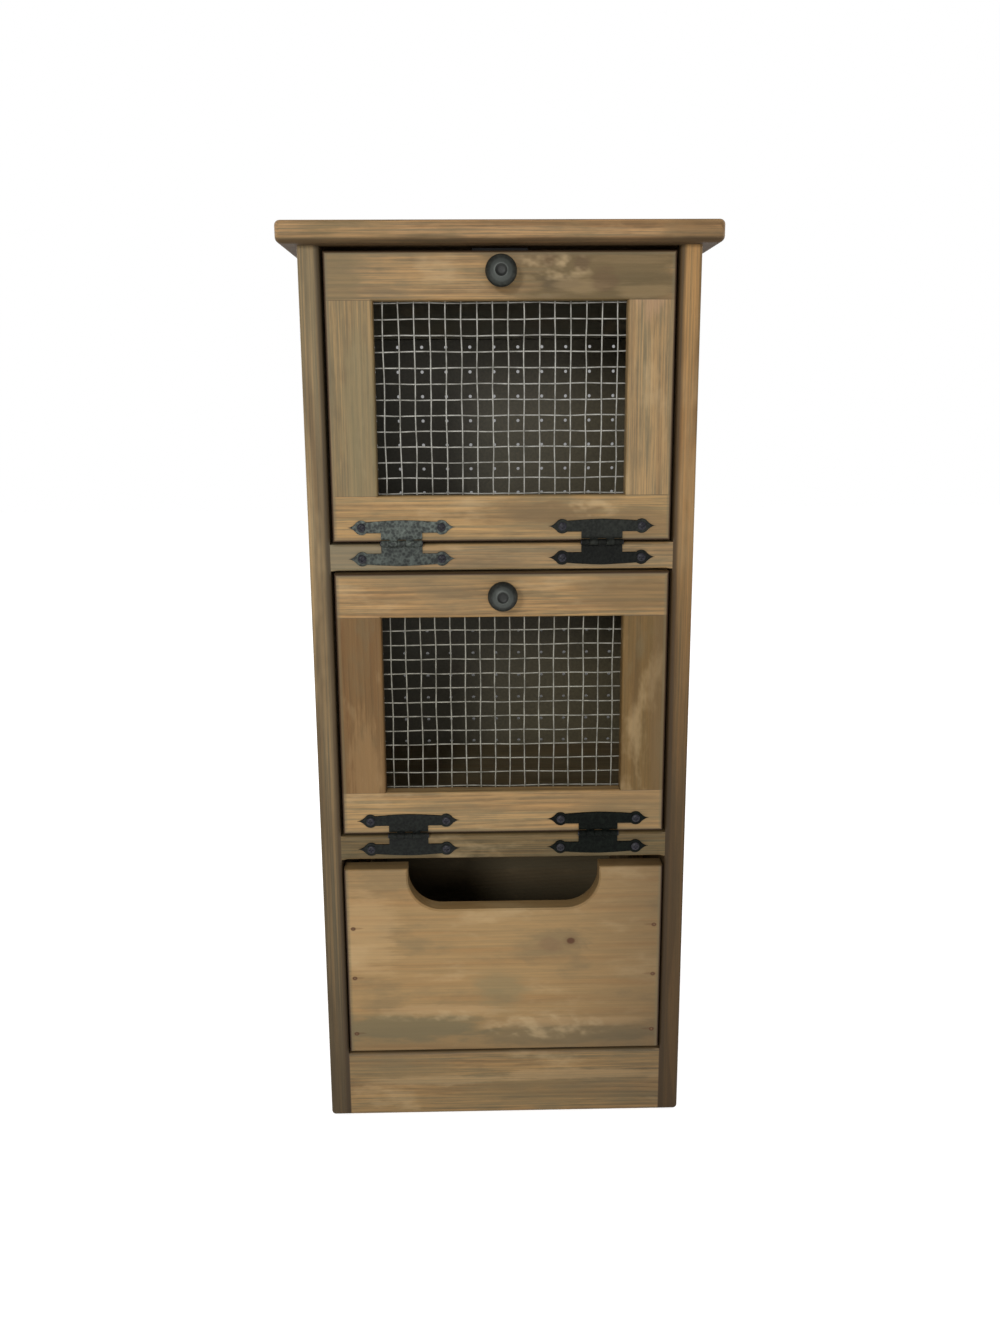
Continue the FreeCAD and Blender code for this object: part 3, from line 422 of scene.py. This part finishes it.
INSIDE, DIM = dict(stained=0.3), (92, 76, 52)
SIDE = dict(rings=0.55, wide="y", spacing=6.5, long=2.6)
# Painted shade: the sides darken down their front edges, beside the doors' gaps and towards the
# foot.
board(
    "left_side", "z", 1.3, (137, 120, 91), shine=0.22, front=(640, -40, 0.72), pith=(36, 46),
    fades=(("x", -148.5, -144.5, 0.8), ("z", 200, -60, 0.4)),
    knots=((196, 40, 4.6), (-168, -52, 3.6)), **SIDE,
)
board(
    "right_side", "z", 2.6, (159, 127, 85), shine=0.18, front=(820, 210, 0.85), pith=(-20, -52),
    fades=(("x", 148.5, 144.5, 0.8), ("z", 200, -60, 0.4)),
    knots=((118, -30, 5.0), (-232, 62, 3.8)), **SIDE,
)
# Painted shade: the base rail darkens to the right and above 62 mm.
board(
    "base_rail", "x", 3.9, (134, 112, 77),
    seams=(("x", -142.5, 0.9, 0), ("x", 142.5, 0.9, 0)),
    fades=(("x", -20, 260, 0.5), ("z", 58, 62, 0.5)),
    patches=(
        (20, -8, 60, 12, 0.5, (112, 94, 62)), (-100, 14, 50, 9, 0.4, (108, 92, 62)),
        (-60, 2, 60, 5, 0.4, (160, 136, 98)), (70, 6, 80, 5, 0.45, (158, 132, 94)),
        (96, -14, 50, 4, 0.4, (98, 82, 54)),
    ),
)
board("lower_rail", "x", 4.4, (100, 86, 60), shine=0.2)
board("upper_rail", "x", 5.2, (138, 117, 84), patches=((-122, 0, 34, 30, 0.6, (112, 106, 84)),))
# Painted shade: the top darkens low on its front edge and to the right.
board(
    "top_board", "x", 6.1, (157, 130, 97), shine=0.12, rings=0.5, spacing=3.4,
    fades=(("z", 769, 765.5, 0.78), ("x", 60, 330, 0.5)), patch_depth=(-168, -150),
    patches=((-120, 0, 36, 30, 0.45, (104, 92, 62)), (150, -4, 22, 10, 0.6, (90, 74, 50))),
)
board("bottom_board", "x", 7.7, DIM, **INSIDE)
board("lower_shelf", "x", 8.3, (136, 124, 98), streaky=0.4, rings=0.2, stained=0.5)
board("upper_shelf", "x", 9.6, (100, 86, 62), **INSIDE)
board("back_top_rail", "x", 10.4, (100, 98, 84), streaky=0.2, rings=0.05)
board("top_cleat_left", "y", 11.2, DIM, **INSIDE)
board("top_cleat_right", "y", 12.9, DIM, **INSIDE)

# ---------------------------------------------------------------- the perforated back
# A sheet of tempered hardboard on an inch grid of round holes, let into the back of the
# sides. It is near black where the doors' frames shade it and olive brown where lit, and
# its colour is also painted darker on the left and lighter on the right: painted shade and light.


def grid_faces(rows, columns, closed):
    """The quads between neighbours on a grid of points, joined round where a row closes."""
    around = np.arange(columns if closed else columns - 1)
    row, column = np.meshgrid(np.arange(rows - 1), around, indexing="ij")
    start, below, beside = row * columns, (row + 1) * columns, (column + 1) % columns
    corners = (start + column, below + column, below + beside, start + beside)
    return np.stack(corners, -1).reshape(-1, 4)


def surface(points, closed=True, caps=False):
    """Points and faces of surfaces that share one grid: points is surfaces x rows x columns x 3.
    Rows close round on themselves where closed, and caps fill the first and the last row."""
    points = np.asarray(points, float)
    if points.ndim == 3:
        points = points[None]
    count, rows, columns, _ = points.shape
    starts = np.arange(count) * rows * columns
    quads = grid_faces(rows, columns, closed)
    faces = (quads[None] + starts[:, None, None]).reshape(-1, 4).tolist()
    if caps:
        ring = np.arange(columns)
        faces += (starts[:, None] + ring[None, ::-1]).tolist()
        faces += (starts[:, None] + (rows - 1) * columns + ring[None]).tolist()
    return points.reshape(-1, 3), faces


SAME_POINT, NO_EDGE = 2e-6, 1e-6  # in metres


def make_piece(name, surfaces, material, body, instead, crease=35):
    """One object from surfaces in millimetres, closed where their points meet, facing outwards."""
    points, faces, start = [], [], 0
    for some_points, some_faces in surfaces:
        points.append(some_points)
        faces += [[index + start for index in face] for face in some_faces]
        start += len(some_points)
    mesh = bpy.data.meshes.new(name)
    mesh.from_pydata((np.concatenate(points) / 1000).tolist(), [], faces)
    work = bmesh.new()
    work.from_mesh(mesh)
    bmesh.ops.remove_doubles(work, verts=work.verts, dist=SAME_POINT)
    bmesh.ops.dissolve_degenerate(work, edges=work.edges, dist=NO_EDGE)
    bmesh.ops.recalc_face_normals(work, faces=work.faces)
    work.to_mesh(mesh)
    work.free()
    mesh.shade_smooth()
    mesh.set_sharp_from_angle(angle=math.radians(crease))
    mesh.materials.append(material)
    piece = bpy.data.objects.new(name, mesh)
    bpy.context.scene.collection.objects.link(piece)
    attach(piece, body)
    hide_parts(*instead)


# The sheet is cut into cells, one to a hole. Round each cell's border and round its hole go
# the same number of points, three to a side.
PITCH, HOLE, SIDES = 25.4, 3.4, 12
TOP_ROW, ROWS, COLUMNS_EACH_SIDE = 749.8, 28, 5
low, high = (np.array(corner) * 1000 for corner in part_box("perforated_back"))
columns = np.arange(-COLUMNS_EACH_SIDE, COLUMNS_EACH_SIDE + 1) * PITCH
rows = TOP_ROW - np.arange(ROWS) * PITCH
x_edges = np.concatenate([[low[0]], (columns[1:] + columns[:-1]) / 2, [high[0]]])
z_edges = np.concatenate([[high[2]], (rows[1:] + rows[:-1]) / 2, [low[2]]])
third = np.array([0, 1, 2]) / 3
border = np.concatenate([
    np.stack([third, 0 * third], -1), np.stack([1 + 0 * third, third], -1),
    np.stack([1 - third, 1 + 0 * third], -1), np.stack([0 * third, 1 - third], -1),
])
turn = math.radians(225) + 2 * math.pi * np.arange(SIDES) / SIDES
cell_x, cell_z = np.meshgrid(np.arange(len(columns)), np.arange(len(rows)), indexing="ij")
cell_x, cell_z = cell_x.ravel(), cell_z.ravel()
left, right = x_edges[cell_x][:, None], x_edges[cell_x + 1][:, None]
upper, lower = z_edges[cell_z][:, None], z_edges[cell_z + 1][:, None]
rim_x = left + (right - left) * border[:, 0]
rim_z = lower + (upper - lower) * border[:, 1]
hole_x = columns[cell_x][:, None] + HOLE / 2 * np.cos(turn)
hole_z = rows[cell_z][:, None] + HOLE / 2 * np.sin(turn)


def at_depth(x, z, y):
    """Points from their x and z, all at one depth y."""
    return np.stack([x, np.full_like(x, y), z], -1)


def thirds(edges):
    """Each stretch between edges in three equal steps."""
    steps = (edges[:-1, None] + (edges[1:] - edges[:-1])[:, None] * third).ravel()
    return np.append(steps, edges[-1])


def sheet_edge(x, z, front, back):
    """The sheet's thickness along one of its edges, between the same points as its faces."""
    return surface(np.stack([at_depth(x, z, front), at_depth(x, z, back)]), closed=False)


front, back = low[1], high[1]
sheet = [surface(np.stack([
    at_depth(rim_x, rim_z, front), at_depth(hole_x, hole_z, front),
    at_depth(hole_x, hole_z, back), at_depth(rim_x, rim_z, back),
], 1))]
x_steps, z_steps = thirds(x_edges), thirds(z_edges)
for height in (low[2], high[2]):
    sheet.append(sheet_edge(x_steps, np.full_like(x_steps, height), front, back))
for across in (low[0], high[0]):
    sheet.append(sheet_edge(np.full_like(z_steps, across), z_steps, front, back))

hardboard, shader, place = new_material("hardboard")
x, y, z = coordinates(place, (0, 0, 400))
fleck = cloud((x / 3.0, y, z / 3.0), 4.0, 0.6)
patch = cloud((x / 70, y / 70, z / 90 + 4), 2.0)
# painted light and shade: the sheet's tone runs from darker at the left to lighter at the right
rub_and_painted_light = x.rise(-110, 130)
dark_tone = rub_and_painted_light.tint(colour(62, 59, 47), colour(76, 69, 51))
pale_tone = rub_and_painted_light.tint(colour(84, 79, 62), colour(102, 93, 67))
tone = (fleck.rise(0.3, 0.7) * 0.5 + patch * 0.4).tint(dark_tone, pale_tone)
connect(shader, Base_Color=tone, Roughness=0.5, Specular_IOR_Level=0.3)
make_piece("hardboard_sheet", sheet, hardboard, "cabinet", ["perforated_back"])

# ---------------------------------------------------------------- the doors' frames
# Two rails across the full width and two stiles between them, tenoned and glued, with a
# rebate behind for the mesh. The joints have darkened and the outer corners are rubbed grey;
# the dark on their edges by the gaps is painted shade.

HALF_WIDTH, RAIL, STILE_INNER = 140.0, 37.5, 102.0
DOORS = {
    "upper_door": dict(
        foot=530.25, head=759.5, seed=20.0,
        top=((149, 123, 84), dict(
            rings=0.5, wisps=((40, 7, 36, 13, 0.6),),
            patches=(
                (76, 0, 66, 40, 0.9, (92, 75, 42)), (-136, 0, 26, 40, 0.7, (108, 92, 60)),
                (20, 16, 26, 7, 0.6, (112, 90, 57)), (112, -10, 40, 10, 0.6, (86, 70, 38)),
                (46, -6, 16, 7, 0.7, (78, 62, 34)), (38, 12, 7, 5, 0.6, (92, 68, 38)),
                (64, 9, 6, 7, 0.6, (86, 64, 36)), (62, -9, 20, 6, 0.3, (160, 134, 94)),
                (116, -12, 24, 5, 0.3, (154, 128, 88)), (100, 12, 26, 3, 0.2, (146, 120, 82)),
                (82, -4, 9, 9, 0.5, (88, 64, 36)),
            ),
        )),
        bottom=((154, 128, 87), dict(
            wisps=((72, 8, 34, 8, 0.45),),
            patches=((35, 4, 46, 11, 0.75, (104, 82, 50)), (112, -6, 30, 16, 0.65, (108, 86, 54))),
        )),
        left=((134, 115, 80), dict(rings=0.2, patches=((-30, 6, 80, 14, 0.6, (116, 104, 72)),))),
        right=((144, 122, 87), dict(rings=0.2, patches=((88, 0, 24, 12, 0.5, (164, 130, 98)),))),
    ),
    "lower_door": dict(
        foot=274.5, head=503.75, seed=40.0,
        top=((151, 124, 84), dict(
            rings=0.45,
            patches=((112, 2, 44, 15, 0.65, (106, 84, 50)), (-60, 14, 70, 5, 0.4, (120, 98, 64))),
        )),
        bottom=((153, 128, 89), dict(patches=((110, 0, 44, 14, 0.6, (112, 92, 60)),))),
        left=((113, 88, 56), dict(
            rings=0.2, streaky=0.25, shine=0.2, patches=((-60, 2, 50, 12, 0.5, (140, 110, 72)),),
        )),
        right=((105, 84, 50), dict(
            rings=0.2, streaky=0.35, shine=0.2, pith=(6, 22),
            patches=((0, 14, 110, 8, 0.5, (104, 84, 56)),),
        )),
    ),
}
# Each door's outline is passed on for its rubbed grey corners and the painted shade on its edges
# by the gaps.
for door, plan in DOORS.items():
    foot, head, seed = plan["foot"], plan["head"], plan["seed"]
    outline = ((-HALF_WIDTH, HALF_WIDTH), (foot, head))
    for part, joint in (("top", head - RAIL), ("bottom", foot + RAIL)):
        tone, finish = plan[part]
        seams = (("z", joint, 0.6, STILE_INNER),)
        name = "%s_%s_rail" % (door, part)
        board(name, "x", seed + len(part), tone, seams=seams, worn=outline, **finish)
    for part, inner in (("left", -STILE_INNER), ("right", STILE_INNER)):
        tone, finish = plan[part]
        name = "%s_%s_stile" % (door, part)
        board(name, "z", seed + inner / 30, tone, worn=outline, **finish)

# ---------------------------------------------------------------- the wire mesh of the doors
# Half-inch galvanised mesh: round wires welded where they cross, uprights in front of the
# cross wires. It was cut by hand and stapled in slack, so no wire is quite straight.

zinc, shader, place = new_material("galvanised_wire")
x, y, z = coordinates(place)
dull = cloud((x / 9, y / 9, z / 9), 3.0)
# the lower door's wire is a darker copy of the same zinc: painted shade
upper_tone = dull.rise(0.3, 0.75).tint(colour(166, 164, 156), colour(122, 120, 112))
lower_tone_painted_shade = dull.rise(0.3, 0.75).tint(colour(146, 143, 131), colour(102, 99, 89))
tone = z.rise(500, 530).tint(lower_tone_painted_shade, upper_tone)
connect(shader, Base_Color=tone, Metallic=0.3, Roughness=0.42 + dull * 0.3)

WIRE, MESH_PITCH, UPRIGHTS, CROSSES = 1.2, 12.7, 18, 13


def wires(places, low, high, depth, wave):
    """Round wires from low to high at the places beside each other, as their steps along,
    their steps beside and their depth. Each strays sideways as two sines whose phase and
    length are its own: 0.26 sin(2 pi s / a + p) + 0.12 sin(4 pi s / b + q)."""
    steps = np.linspace(low, high, 60)
    phase = wave.uniform(0, 2 * math.pi, (2, len(places), 1))
    length = wave.uniform(55, 130, (2, len(places), 1))
    stray = 0.26 * np.sin(steps / length[0] * 2 * math.pi + phase[0])
    stray = stray + 0.12 * np.sin(steps / length[1] * 4 * math.pi + phase[1])
    around = 2 * math.pi * np.arange(8) / 8
    beside = (places[:, None] + stray)[:, :, None] + WIRE / 2 * np.cos(around)
    along = steps[None, :, None] + 0 * beside
    return along, beside, depth + WIRE / 2 * np.sin(around) + 0 * beside


for number, door in enumerate(("upper_door", "lower_door")):
    low, high = (np.array(corner) * 1000 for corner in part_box(door + "_mesh"))
    wave = np.random.default_rng(40 + number)
    places = (np.arange(UPRIGHTS) - (UPRIGHTS - 1) / 2) * MESH_PITCH
    along, beside, depth = wires(places, low[2], high[2], low[1] + WIRE / 2, wave)
    uprights = np.stack([beside, depth, along], -1)
    places = (low[2] + high[2]) / 2 + (np.arange(CROSSES) - (CROSSES - 1) / 2) * MESH_PITCH
    along, beside, depth = wires(places, low[0], high[0], high[1] - WIRE / 2, wave)
    crosses = np.stack([along, depth, beside], -1)
    surfaces = [surface(uprights, caps=True), surface(crosses, caps=True)]
    make_piece(door + "_wires", surfaces, zinc, door, [door + "_mesh"], 60)

# ---------------------------------------------------------------- the knobs
# Turned iron knobs, blacked and waxed: a flange on the wood, a thin neck and a domed
# head with a shallow dimple. Each is held by a screw from behind the rail.


def turned(profile, centre, axis, sides=64):
    """A profile of radius and rise, swept round an axis that leaves the centre along -Y or X:
    each point goes round as (radius cos a, radius sin a), at its rise along the axis."""
    radius, rise = np.asarray(profile, float).T[:, :, None]
    angle = 2 * math.pi * np.arange(sides) / sides
    u, v = radius * np.cos(angle), radius * np.sin(angle)
    w = rise + 0 * u
    parts = (u, -w, v) if axis == "-y" else (w, u, v)
    return surface(np.stack(parts, -1) + np.asarray(centre, float))


def smooth_profile(marks, count):
    """More points along the marks of a profile, rounded by the Catmull-Rom rule: between two
    marks the curve leaves and arrives along the lines between their neighbours."""
    marks = np.asarray(marks, float)
    padded = np.concatenate([marks[:1], marks, marks[-1:]])
    share = np.linspace(0, 1, count, endpoint=False)[None, :, None]
    a, b, c, d = (padded[k : k + len(marks) - 1, None] for k in range(4))
    curve = 0.5 * (2 * b + (c - a) * share + (2 * a - 5 * b + 4 * c - d) * share**2)
    curve = curve + 0.5 * (3 * b - a - 3 * c + d) * share**3
    return np.concatenate([curve.reshape(-1, 2), marks[-1:]])


# radius and distance from the wood, from the flange out to the dimple
KNOB = [
    (7.5, 0), (7.5, 0.5), (7.2, 1.3), (6.0, 2.0), (5.0, 4.0), (4.75, 7.5), (5.3, 10.5),
    (7.8, 13.6), (10.7, 15.7), (12.1, 17.6), (12.4, 19.2), (12.0, 20.9), (10.7, 22.7),
    (9.0, 24.1), (7.2, 25.2), (5.8, 25.8), (4.9, 25.95), (4.2, 25.5), (2.6, 24.9), (0, 24.8),
]
KNOB_HEIGHTS = {"upper_door": 742.5, "lower_door": 486.75}
upper_knob, lower_knob = KNOB_HEIGHTS.values()
blacked, shader, place = new_material("blacked_iron_knob")
x, y, z = coordinates(place, (0, 0, lower_knob))
above = z - (upper_knob - lower_knob) * z.rise(100, 101)
rub_and_painted_light = cloud((x / 2.5, y / 2.5, z / 2.5), 4.0, 0.6)
from_axis = (x * x + above * above) ** 0.5
# the face has a painted highlight in a ring, and painted shade in its dimple
face = from_axis.rise(4.3, 5.0) * (1 - from_axis.rise(7.8, 9.6))
iron = rub_and_painted_light.rise(0.35, 0.75).tint(colour(28, 30, 26), colour(48, 50, 44))
iron = face.tint(iron, colour(60, 63, 59))
iron = (1 - from_axis.rise(3.6, 4.8)).tint(iron, colour(20, 21, 18))
bump = rub_and_painted_light.node("ShaderNodeBump", {}, {"Strength": 0.25, "Distance": 0.0003, "Height": rub_and_painted_light})
connect(shader, Base_Color=iron, Metallic=0.5, Roughness=0.4 + rub_and_painted_light * 0.14, Normal=bump)
profile = np.concatenate([[(0, 0)], smooth_profile(KNOB, 5)])
for door, height in KNOB_HEIGHTS.items():
    knob = turned(profile, (0, FRONT, height), "-y")
    make_piece(door + "_turned_knob", [knob], blacked, door, [door + "_knob"])

# ---------------------------------------------------------------- the butterfly hinges
# Stamped iron leaves, hammered and blacked: a bar with a round lobe at each end drawn out
# to a point. Five knuckles roll round the pin, two from the door and three from the cabinet.


def hammered(name, tone, light, shine, seed):
    """Blacked iron with shallow round dents, rubbed lighter on their rims."""
    material, shader, place = new_material(name)
    x, y, z = coordinates(place)
    point = x.node("ShaderNodeCombineXYZ", {}, {0: x / 2.3 + seed, 1: y / 2.3, 2: z / 2.3})
    settings = {"feature": "SMOOTH_F1", "voronoi_dimensions": "3D"}
    sockets = {"Vector": point, "Scale": 1.0, "Smoothness": 0.4}
    dent = x.node("ShaderNodeTexVoronoi", settings, sockets)
    grime = cloud((x / 5 + seed, y / 5, z / 5), 4.0, 0.6)
    shade = (dent.rise(0.35, 0.75) * 0.5 + grime.rise(0.4, 0.75) * 0.6).tint(tone, light)
    bump = dent.node("ShaderNodeBump", {}, {"Strength": 0.7, "Distance": 0.0007, "Height": dent})
    rough = 0.5 + grime * 0.2
    connect(shader, Base_Color=shade, Roughness=rough, Specular_IOR_Level=shine, Normal=bump)
    return material


# A leaf's outline, from the pin's middle: half lengths where its neck, bar, waist and tip
# end, the heights of its shoulder and its arched edge, and the lobe's radius and place.
NECK, BAR, WAIST, TIP = 17.0, 29.03, 36.86, 44.5
SHOULDER, EDGE, REACH, LOBE, LOBE_AT, MIDDLE_LINE = 8.5, 17.5, 19.0, 6.0, 33.0, 13.0
THICK, NOTCH, KNUCKLE_RADIUS, RUNNING_GAP = 1.6, 2.9, 2.6, 0.2


def leaf_plate():
    """The flat of a leaf as rings round its length. At each x the ring goes up one rounded
    edge, over the front and down the other edge, between the lower and the upper outline.
    The upper one falls from the reach as 1.5 powers of x, then follows the lobe's circle and
    at last the tip, which narrows as 1.9 powers of what is left of it."""
    taper = 1 - np.linspace(1, 0, 12) ** 1.3
    half = np.concatenate([
        np.linspace(0, NECK, 14), np.linspace(NECK + 0.02, BAR, 10),
        np.linspace(BAR, WAIST, 16)[1:], WAIST + (TIP - WAIST) * taper[1:],
    ])
    lobe = np.sqrt(np.clip(LOBE**2 - (half - LOBE_AT) ** 2, 0, None))
    share = np.clip((half - WAIST) / (TIP - WAIST), 0, 1)
    finial = LOBE * math.sin(math.radians(50)) * (1 - share) ** 1.9
    bulge = np.where(half > WAIST, finial, lobe)
    arch = REACH - (REACH - EDGE) * (half / BAR) ** 1.5
    top = np.where(half <= BAR, arch, MIDDLE_LINE + bulge)
    foot = np.where(half <= BAR, SHOULDER, MIDDLE_LINE - bulge)
    foot = np.where(half <= NECK, NOTCH, foot)
    x, foot, top = (
        np.concatenate([sign * edge[:0:-1], edge])[:, None]
        for sign, edge in ((-1, half), (1, foot), (1, top))
    )
    narrow = np.clip((top - foot) / 2.4, 0, 1)
    inset, rise = np.array([0, 0, 0.25, 0.8]), np.array([0, 0.9, 1.38, THICK])
    inner = np.linspace(0, 1, 12)[1:-1]
    z = np.concatenate([
        foot + narrow * inset,
        foot + 0.8 * narrow + (top - foot - 1.6 * narrow) * inner,
        top - narrow * inset[::-1],
    ], 1)
    front = np.concatenate([rise, np.full(len(inner), THICK), rise[::-1]])
    y = front[None] * (0.45 + 0.55 * narrow)
    return np.stack([x + 0 * z, -y, z], -1)


def knuckles(places):
    """Barrels rolled from tabs of the leaf: the section goes down the wood, round the pin and
    up the tab's front, and shrinks a little at both ends of each barrel."""
    sweep = -np.linspace(0, math.radians(292.6), 26)
    y = np.concatenate([[0], KNUCKLE_RADIUS * (np.cos(sweep) - 1), [-THICK]])
    z = np.concatenate([[3.2], KNUCKLE_RADIUS * np.sin(sweep), [3.2]])
    barrel = (2 * NECK - 4 * RUNNING_GAP) / 5
    start = -NECK + np.asarray(places)[:, None] * (barrel + RUNNING_GAP)
    x = (start + np.array([0, 0.3, barrel - 0.3, barrel]))[:, :, None]
    shrink = np.array([0.9, 1, 1, 0.9])[None, :, None]
    ring_y = -KNUCKLE_RADIUS + (y + KNUCKLE_RADIUS)[None, None] * shrink
    ring_z = z[None, None] * shrink
    return np.stack([x + 0 * ring_y, ring_y + 0 * x, ring_z + 0 * x], -1)


def leaf(name, at, upwards, material, body, node):
    """One leaf with its knuckles, at its pin's middle; a cabinet's leaf hangs down."""
    flip = np.array([1, 1, 1 if upwards else -1])
    rolls = knuckles((1, 3) if upwards else (0, 2, 4))
    surfaces = [surface(leaf_plate() * flip + at), surface(rolls * flip + at, caps=True)]
    make_piece(name, surfaces, material, body, [node])


def screw_heads(name, centres, material, body, node):
    """Round heads with a cross recess: a dome on rings of growing radius, lowered where
    either arm of the cross passes. The dome's height is 1.6 sqrt(1 - (radius / 3.75)^2)."""
    radius = np.concatenate([np.linspace(0, 3.3, 15), [3.5, 3.5]])[:, None]
    angle = 2 * math.pi * np.arange(48) / 48
    u, v = radius * np.cos(angle), radius * np.sin(angle)
    dome = 1.6 * np.sqrt(np.clip(1 - (radius / 3.75) ** 2, 0, 1)) + 0 * u
    within_u, within_v = (np.clip((0.62 - abs(s)) / 0.25, 0, 1) for s in (u, v))
    along_u, along_v = (np.clip((2.1 - abs(s)) / 0.3, 0, 1) for s in (u, v))
    rise = dome - 0.8 * np.maximum(within_u * along_v, within_v * along_u)
    rise[-1] = 0
    heads = np.stack([u, -rise, v], -1)[None] + np.asarray(centres, float)[:, None, None]
    make_piece(name, [surface(heads, caps=True)], material, body, [node])


black_screw, shader, place = new_material("black_screw")
x, y, z = coordinates(place)
rub_and_painted_light = cloud((x / 1.6, y / 1.6, z / 1.6), 3.0)
tone = rub_and_painted_light.rise(0.35, 0.8).tint(colour(14, 13, 18), colour(40, 38, 48))
connect(shader, Base_Color=tone, Roughness=0.45, Specular_IOR_Level=0.3)

# the pin's profile: radius and place along it, with a head at each end
PIN = [
    (0, -17.8), (1.7, -17.8), (2.15, -17.5), (2.15, -17.05), (1.2, -17.0),
    (1.2, 17.0), (2.15, 17.05), (2.15, 17.5), (1.7, 17.8), (0, 17.8),
]
HINGE_AT, PIN_HEIGHTS = 83.0, (("upper", 529.25), ("lower", 273.5))
# iron in the dents and on their rims, its shine, and how much of that the cabinet's leaf has.
# Each hinge is a painted light and shade copy: lighter at the upper left, darker to the lower
# right, and the cabinet's leaves dimmer.
PAINTED_LIGHT_FINISH = {
    ("upper", "left"): ((32, 36, 33), (94, 101, 94), 0.3, 0.82),
    ("upper", "right"): ((17, 19, 15), (36, 38, 33), 0.15, 0.62),
    ("lower", "left"): ((12, 13, 11), (28, 31, 27), 0.13, 1.0),
    ("lower", "right"): ((8, 10, 8), (19, 23, 19), 0.05, 1.0),
}
pins = []
for number, (level, axis) in enumerate(PIN_HEIGHTS):
    door, cabinet = level + "_door", level + "_cabinet"
    for side, x in (("left", -HINGE_AT), ("right", HINGE_AT)):
        dents, rims, shine, cabinet_leaf_shading = PAINTED_LIGHT_FINISH[level, side]
        for owner, body, leaf_shading in ((door, door, 1), (cabinet, "cabinet", cabinet_leaf_shading)):
            node = owner + "_leaf_" + side
            tones = [colour(*(np.array(tone) * leaf_shading)) for tone in (dents, rims)]
            iron = hammered("iron_" + node, *tones, shine * leaf_shading, 3.7 * number + x)
            leaf("hammered_" + node, (x, FRONT, axis), owner == door, iron, body, node)
        pins.append(turned(PIN, (x, FRONT - KNUCKLE_RADIUS, axis), "x", 24))
    places = [x + lobe for x in (-HINGE_AT, HINGE_AT) for lobe in (-LOBE_AT, LOBE_AT)]
    for owner, body, sign in ((door, door, 1), (cabinet, "cabinet", -1)):
        node = owner + "_leaf_screws"
        centres = [(x, FRONT - THICK, axis + sign * MIDDLE_LINE) for x in places]
        screw_heads("round_" + node, centres, black_screw, body, node)
make_piece("hinge_pins_headed", pins, black_screw, "cabinet", ["hinge_pins"])

# ---------------------------------------------------------------- the bin
# A pine box that slides on the bottom board. Its front is one smooth board with a hand
# cut-out, nailed to the sides, and the stain has run brown round each nail.

NAIL_X, NAIL_HEIGHTS = 134.5, (32.5, -15.5, -70.5)
nail_marks = []
for height in NAIL_HEIGHTS:
    for side in (-1, 1):
        nail_marks.append((side * NAIL_X, height, 2.6, 2.1, 0.97))
        nail_marks.append((side * (NAIL_X - 3), height + 0.4, 7.0, 1.2, 0.3))
# Painted shade: the bin's front darkens to the right, towards its foot and on its edges by the
# gaps.
board(
    "bin_front", "x", 60.5, (153, 127, 87), worn=((-141.0, 141.0), (60, 245)),
    rings=0.12, pith=(-70, 60), streaky=0.24, knots=((60, 18, 3.0),), marks=nail_marks,
    fades=(("x", -20, 270, 0.8), ("z", 125, 25, 0.55)),
    patches=(
        (42, 15, 12, 9, 0.4, (112, 84, 58)), (-4, -30, 22, 18, 0.45, (112, 104, 74)),
        (-96, -66, 74, 13, 0.75, (104, 96, 68)), (62, -74, 90, 10, 0.65, (104, 92, 64)),
        (-60, -48, 60, 5, 0.4, (176, 146, 104)), (70, -62, 60, 4, 0.5, (172, 142, 100)),
        (-120, 30, 26, 40, 0.35, (178, 148, 104)),
    ),
    wisps=((40, -66, 66, 13, 0.65), (-60, -54, 60, 6, 0.4)),
)
BIN_SIDE = dict(rings=0.4, wide="z", long=2.0)
board("bin_left_side", "y", 61.8, (134, 110, 78), knots=((40, 20, 3.4),), **BIN_SIDE)
board("bin_right_side", "y", 62.4, (134, 110, 78), knots=((-60, -24, 3.8),), **BIN_SIDE)
board("bin_back", "x", 63.9, (101, 92, 71), streaky=0.15, rings=0.1, **INSIDE)
board("bin_floor", "x", 64.6, (108, 93, 68), streaky=0.6, rings=0.3, **INSIDE)

# ---------------------------------------------------------------- nails, staples and catches
# Plain steel fastenings: nails punched flush and browned by the stain, zinc staples behind
# the doors, a strike plate on each door and a moulded magnetic catch above it.


def plain(name, tone, other, metallic, roughness, scale, *targets):
    """A finish of two close tones in soft patches, on the nodes named."""
    material, shader, place = new_material(name)
    x, y, z = coordinates(place)
    patch = cloud((x / scale, y / scale, z / scale), 3.0, 0.6)
    shade = patch.rise(0.3, 0.7).tint(tone, other)
    connect(shader, Base_Color=shade, Metallic=metallic, Roughness=roughness + patch * 0.15)
    for node in targets:
        dress(node, material)


plain(
    "browned_nail", colour(74, 50, 28), colour(112, 84, 52), 0.2, 0.6, 1.0,
    "bin_nails", "carcass_nails",
)
plain(
    "zinc_plate", colour(176, 176, 172), colour(146, 146, 142), 0.8, 0.3, 6.0,
    "upper_door_strike", "lower_door_strike", "upper_door_staples", "lower_door_staples",
    "upper_door_knob_screw", "lower_door_knob_screw",
)
# the catches are nearly black: partly their own brown, partly painted shade for the gap above each
# door
plain(
    "brown_catch_and_gap_shade", colour(26, 18, 12), colour(20, 14, 10), 0.0, 0.5, 12.0,
    "upper_catch", "lower_catch",
)
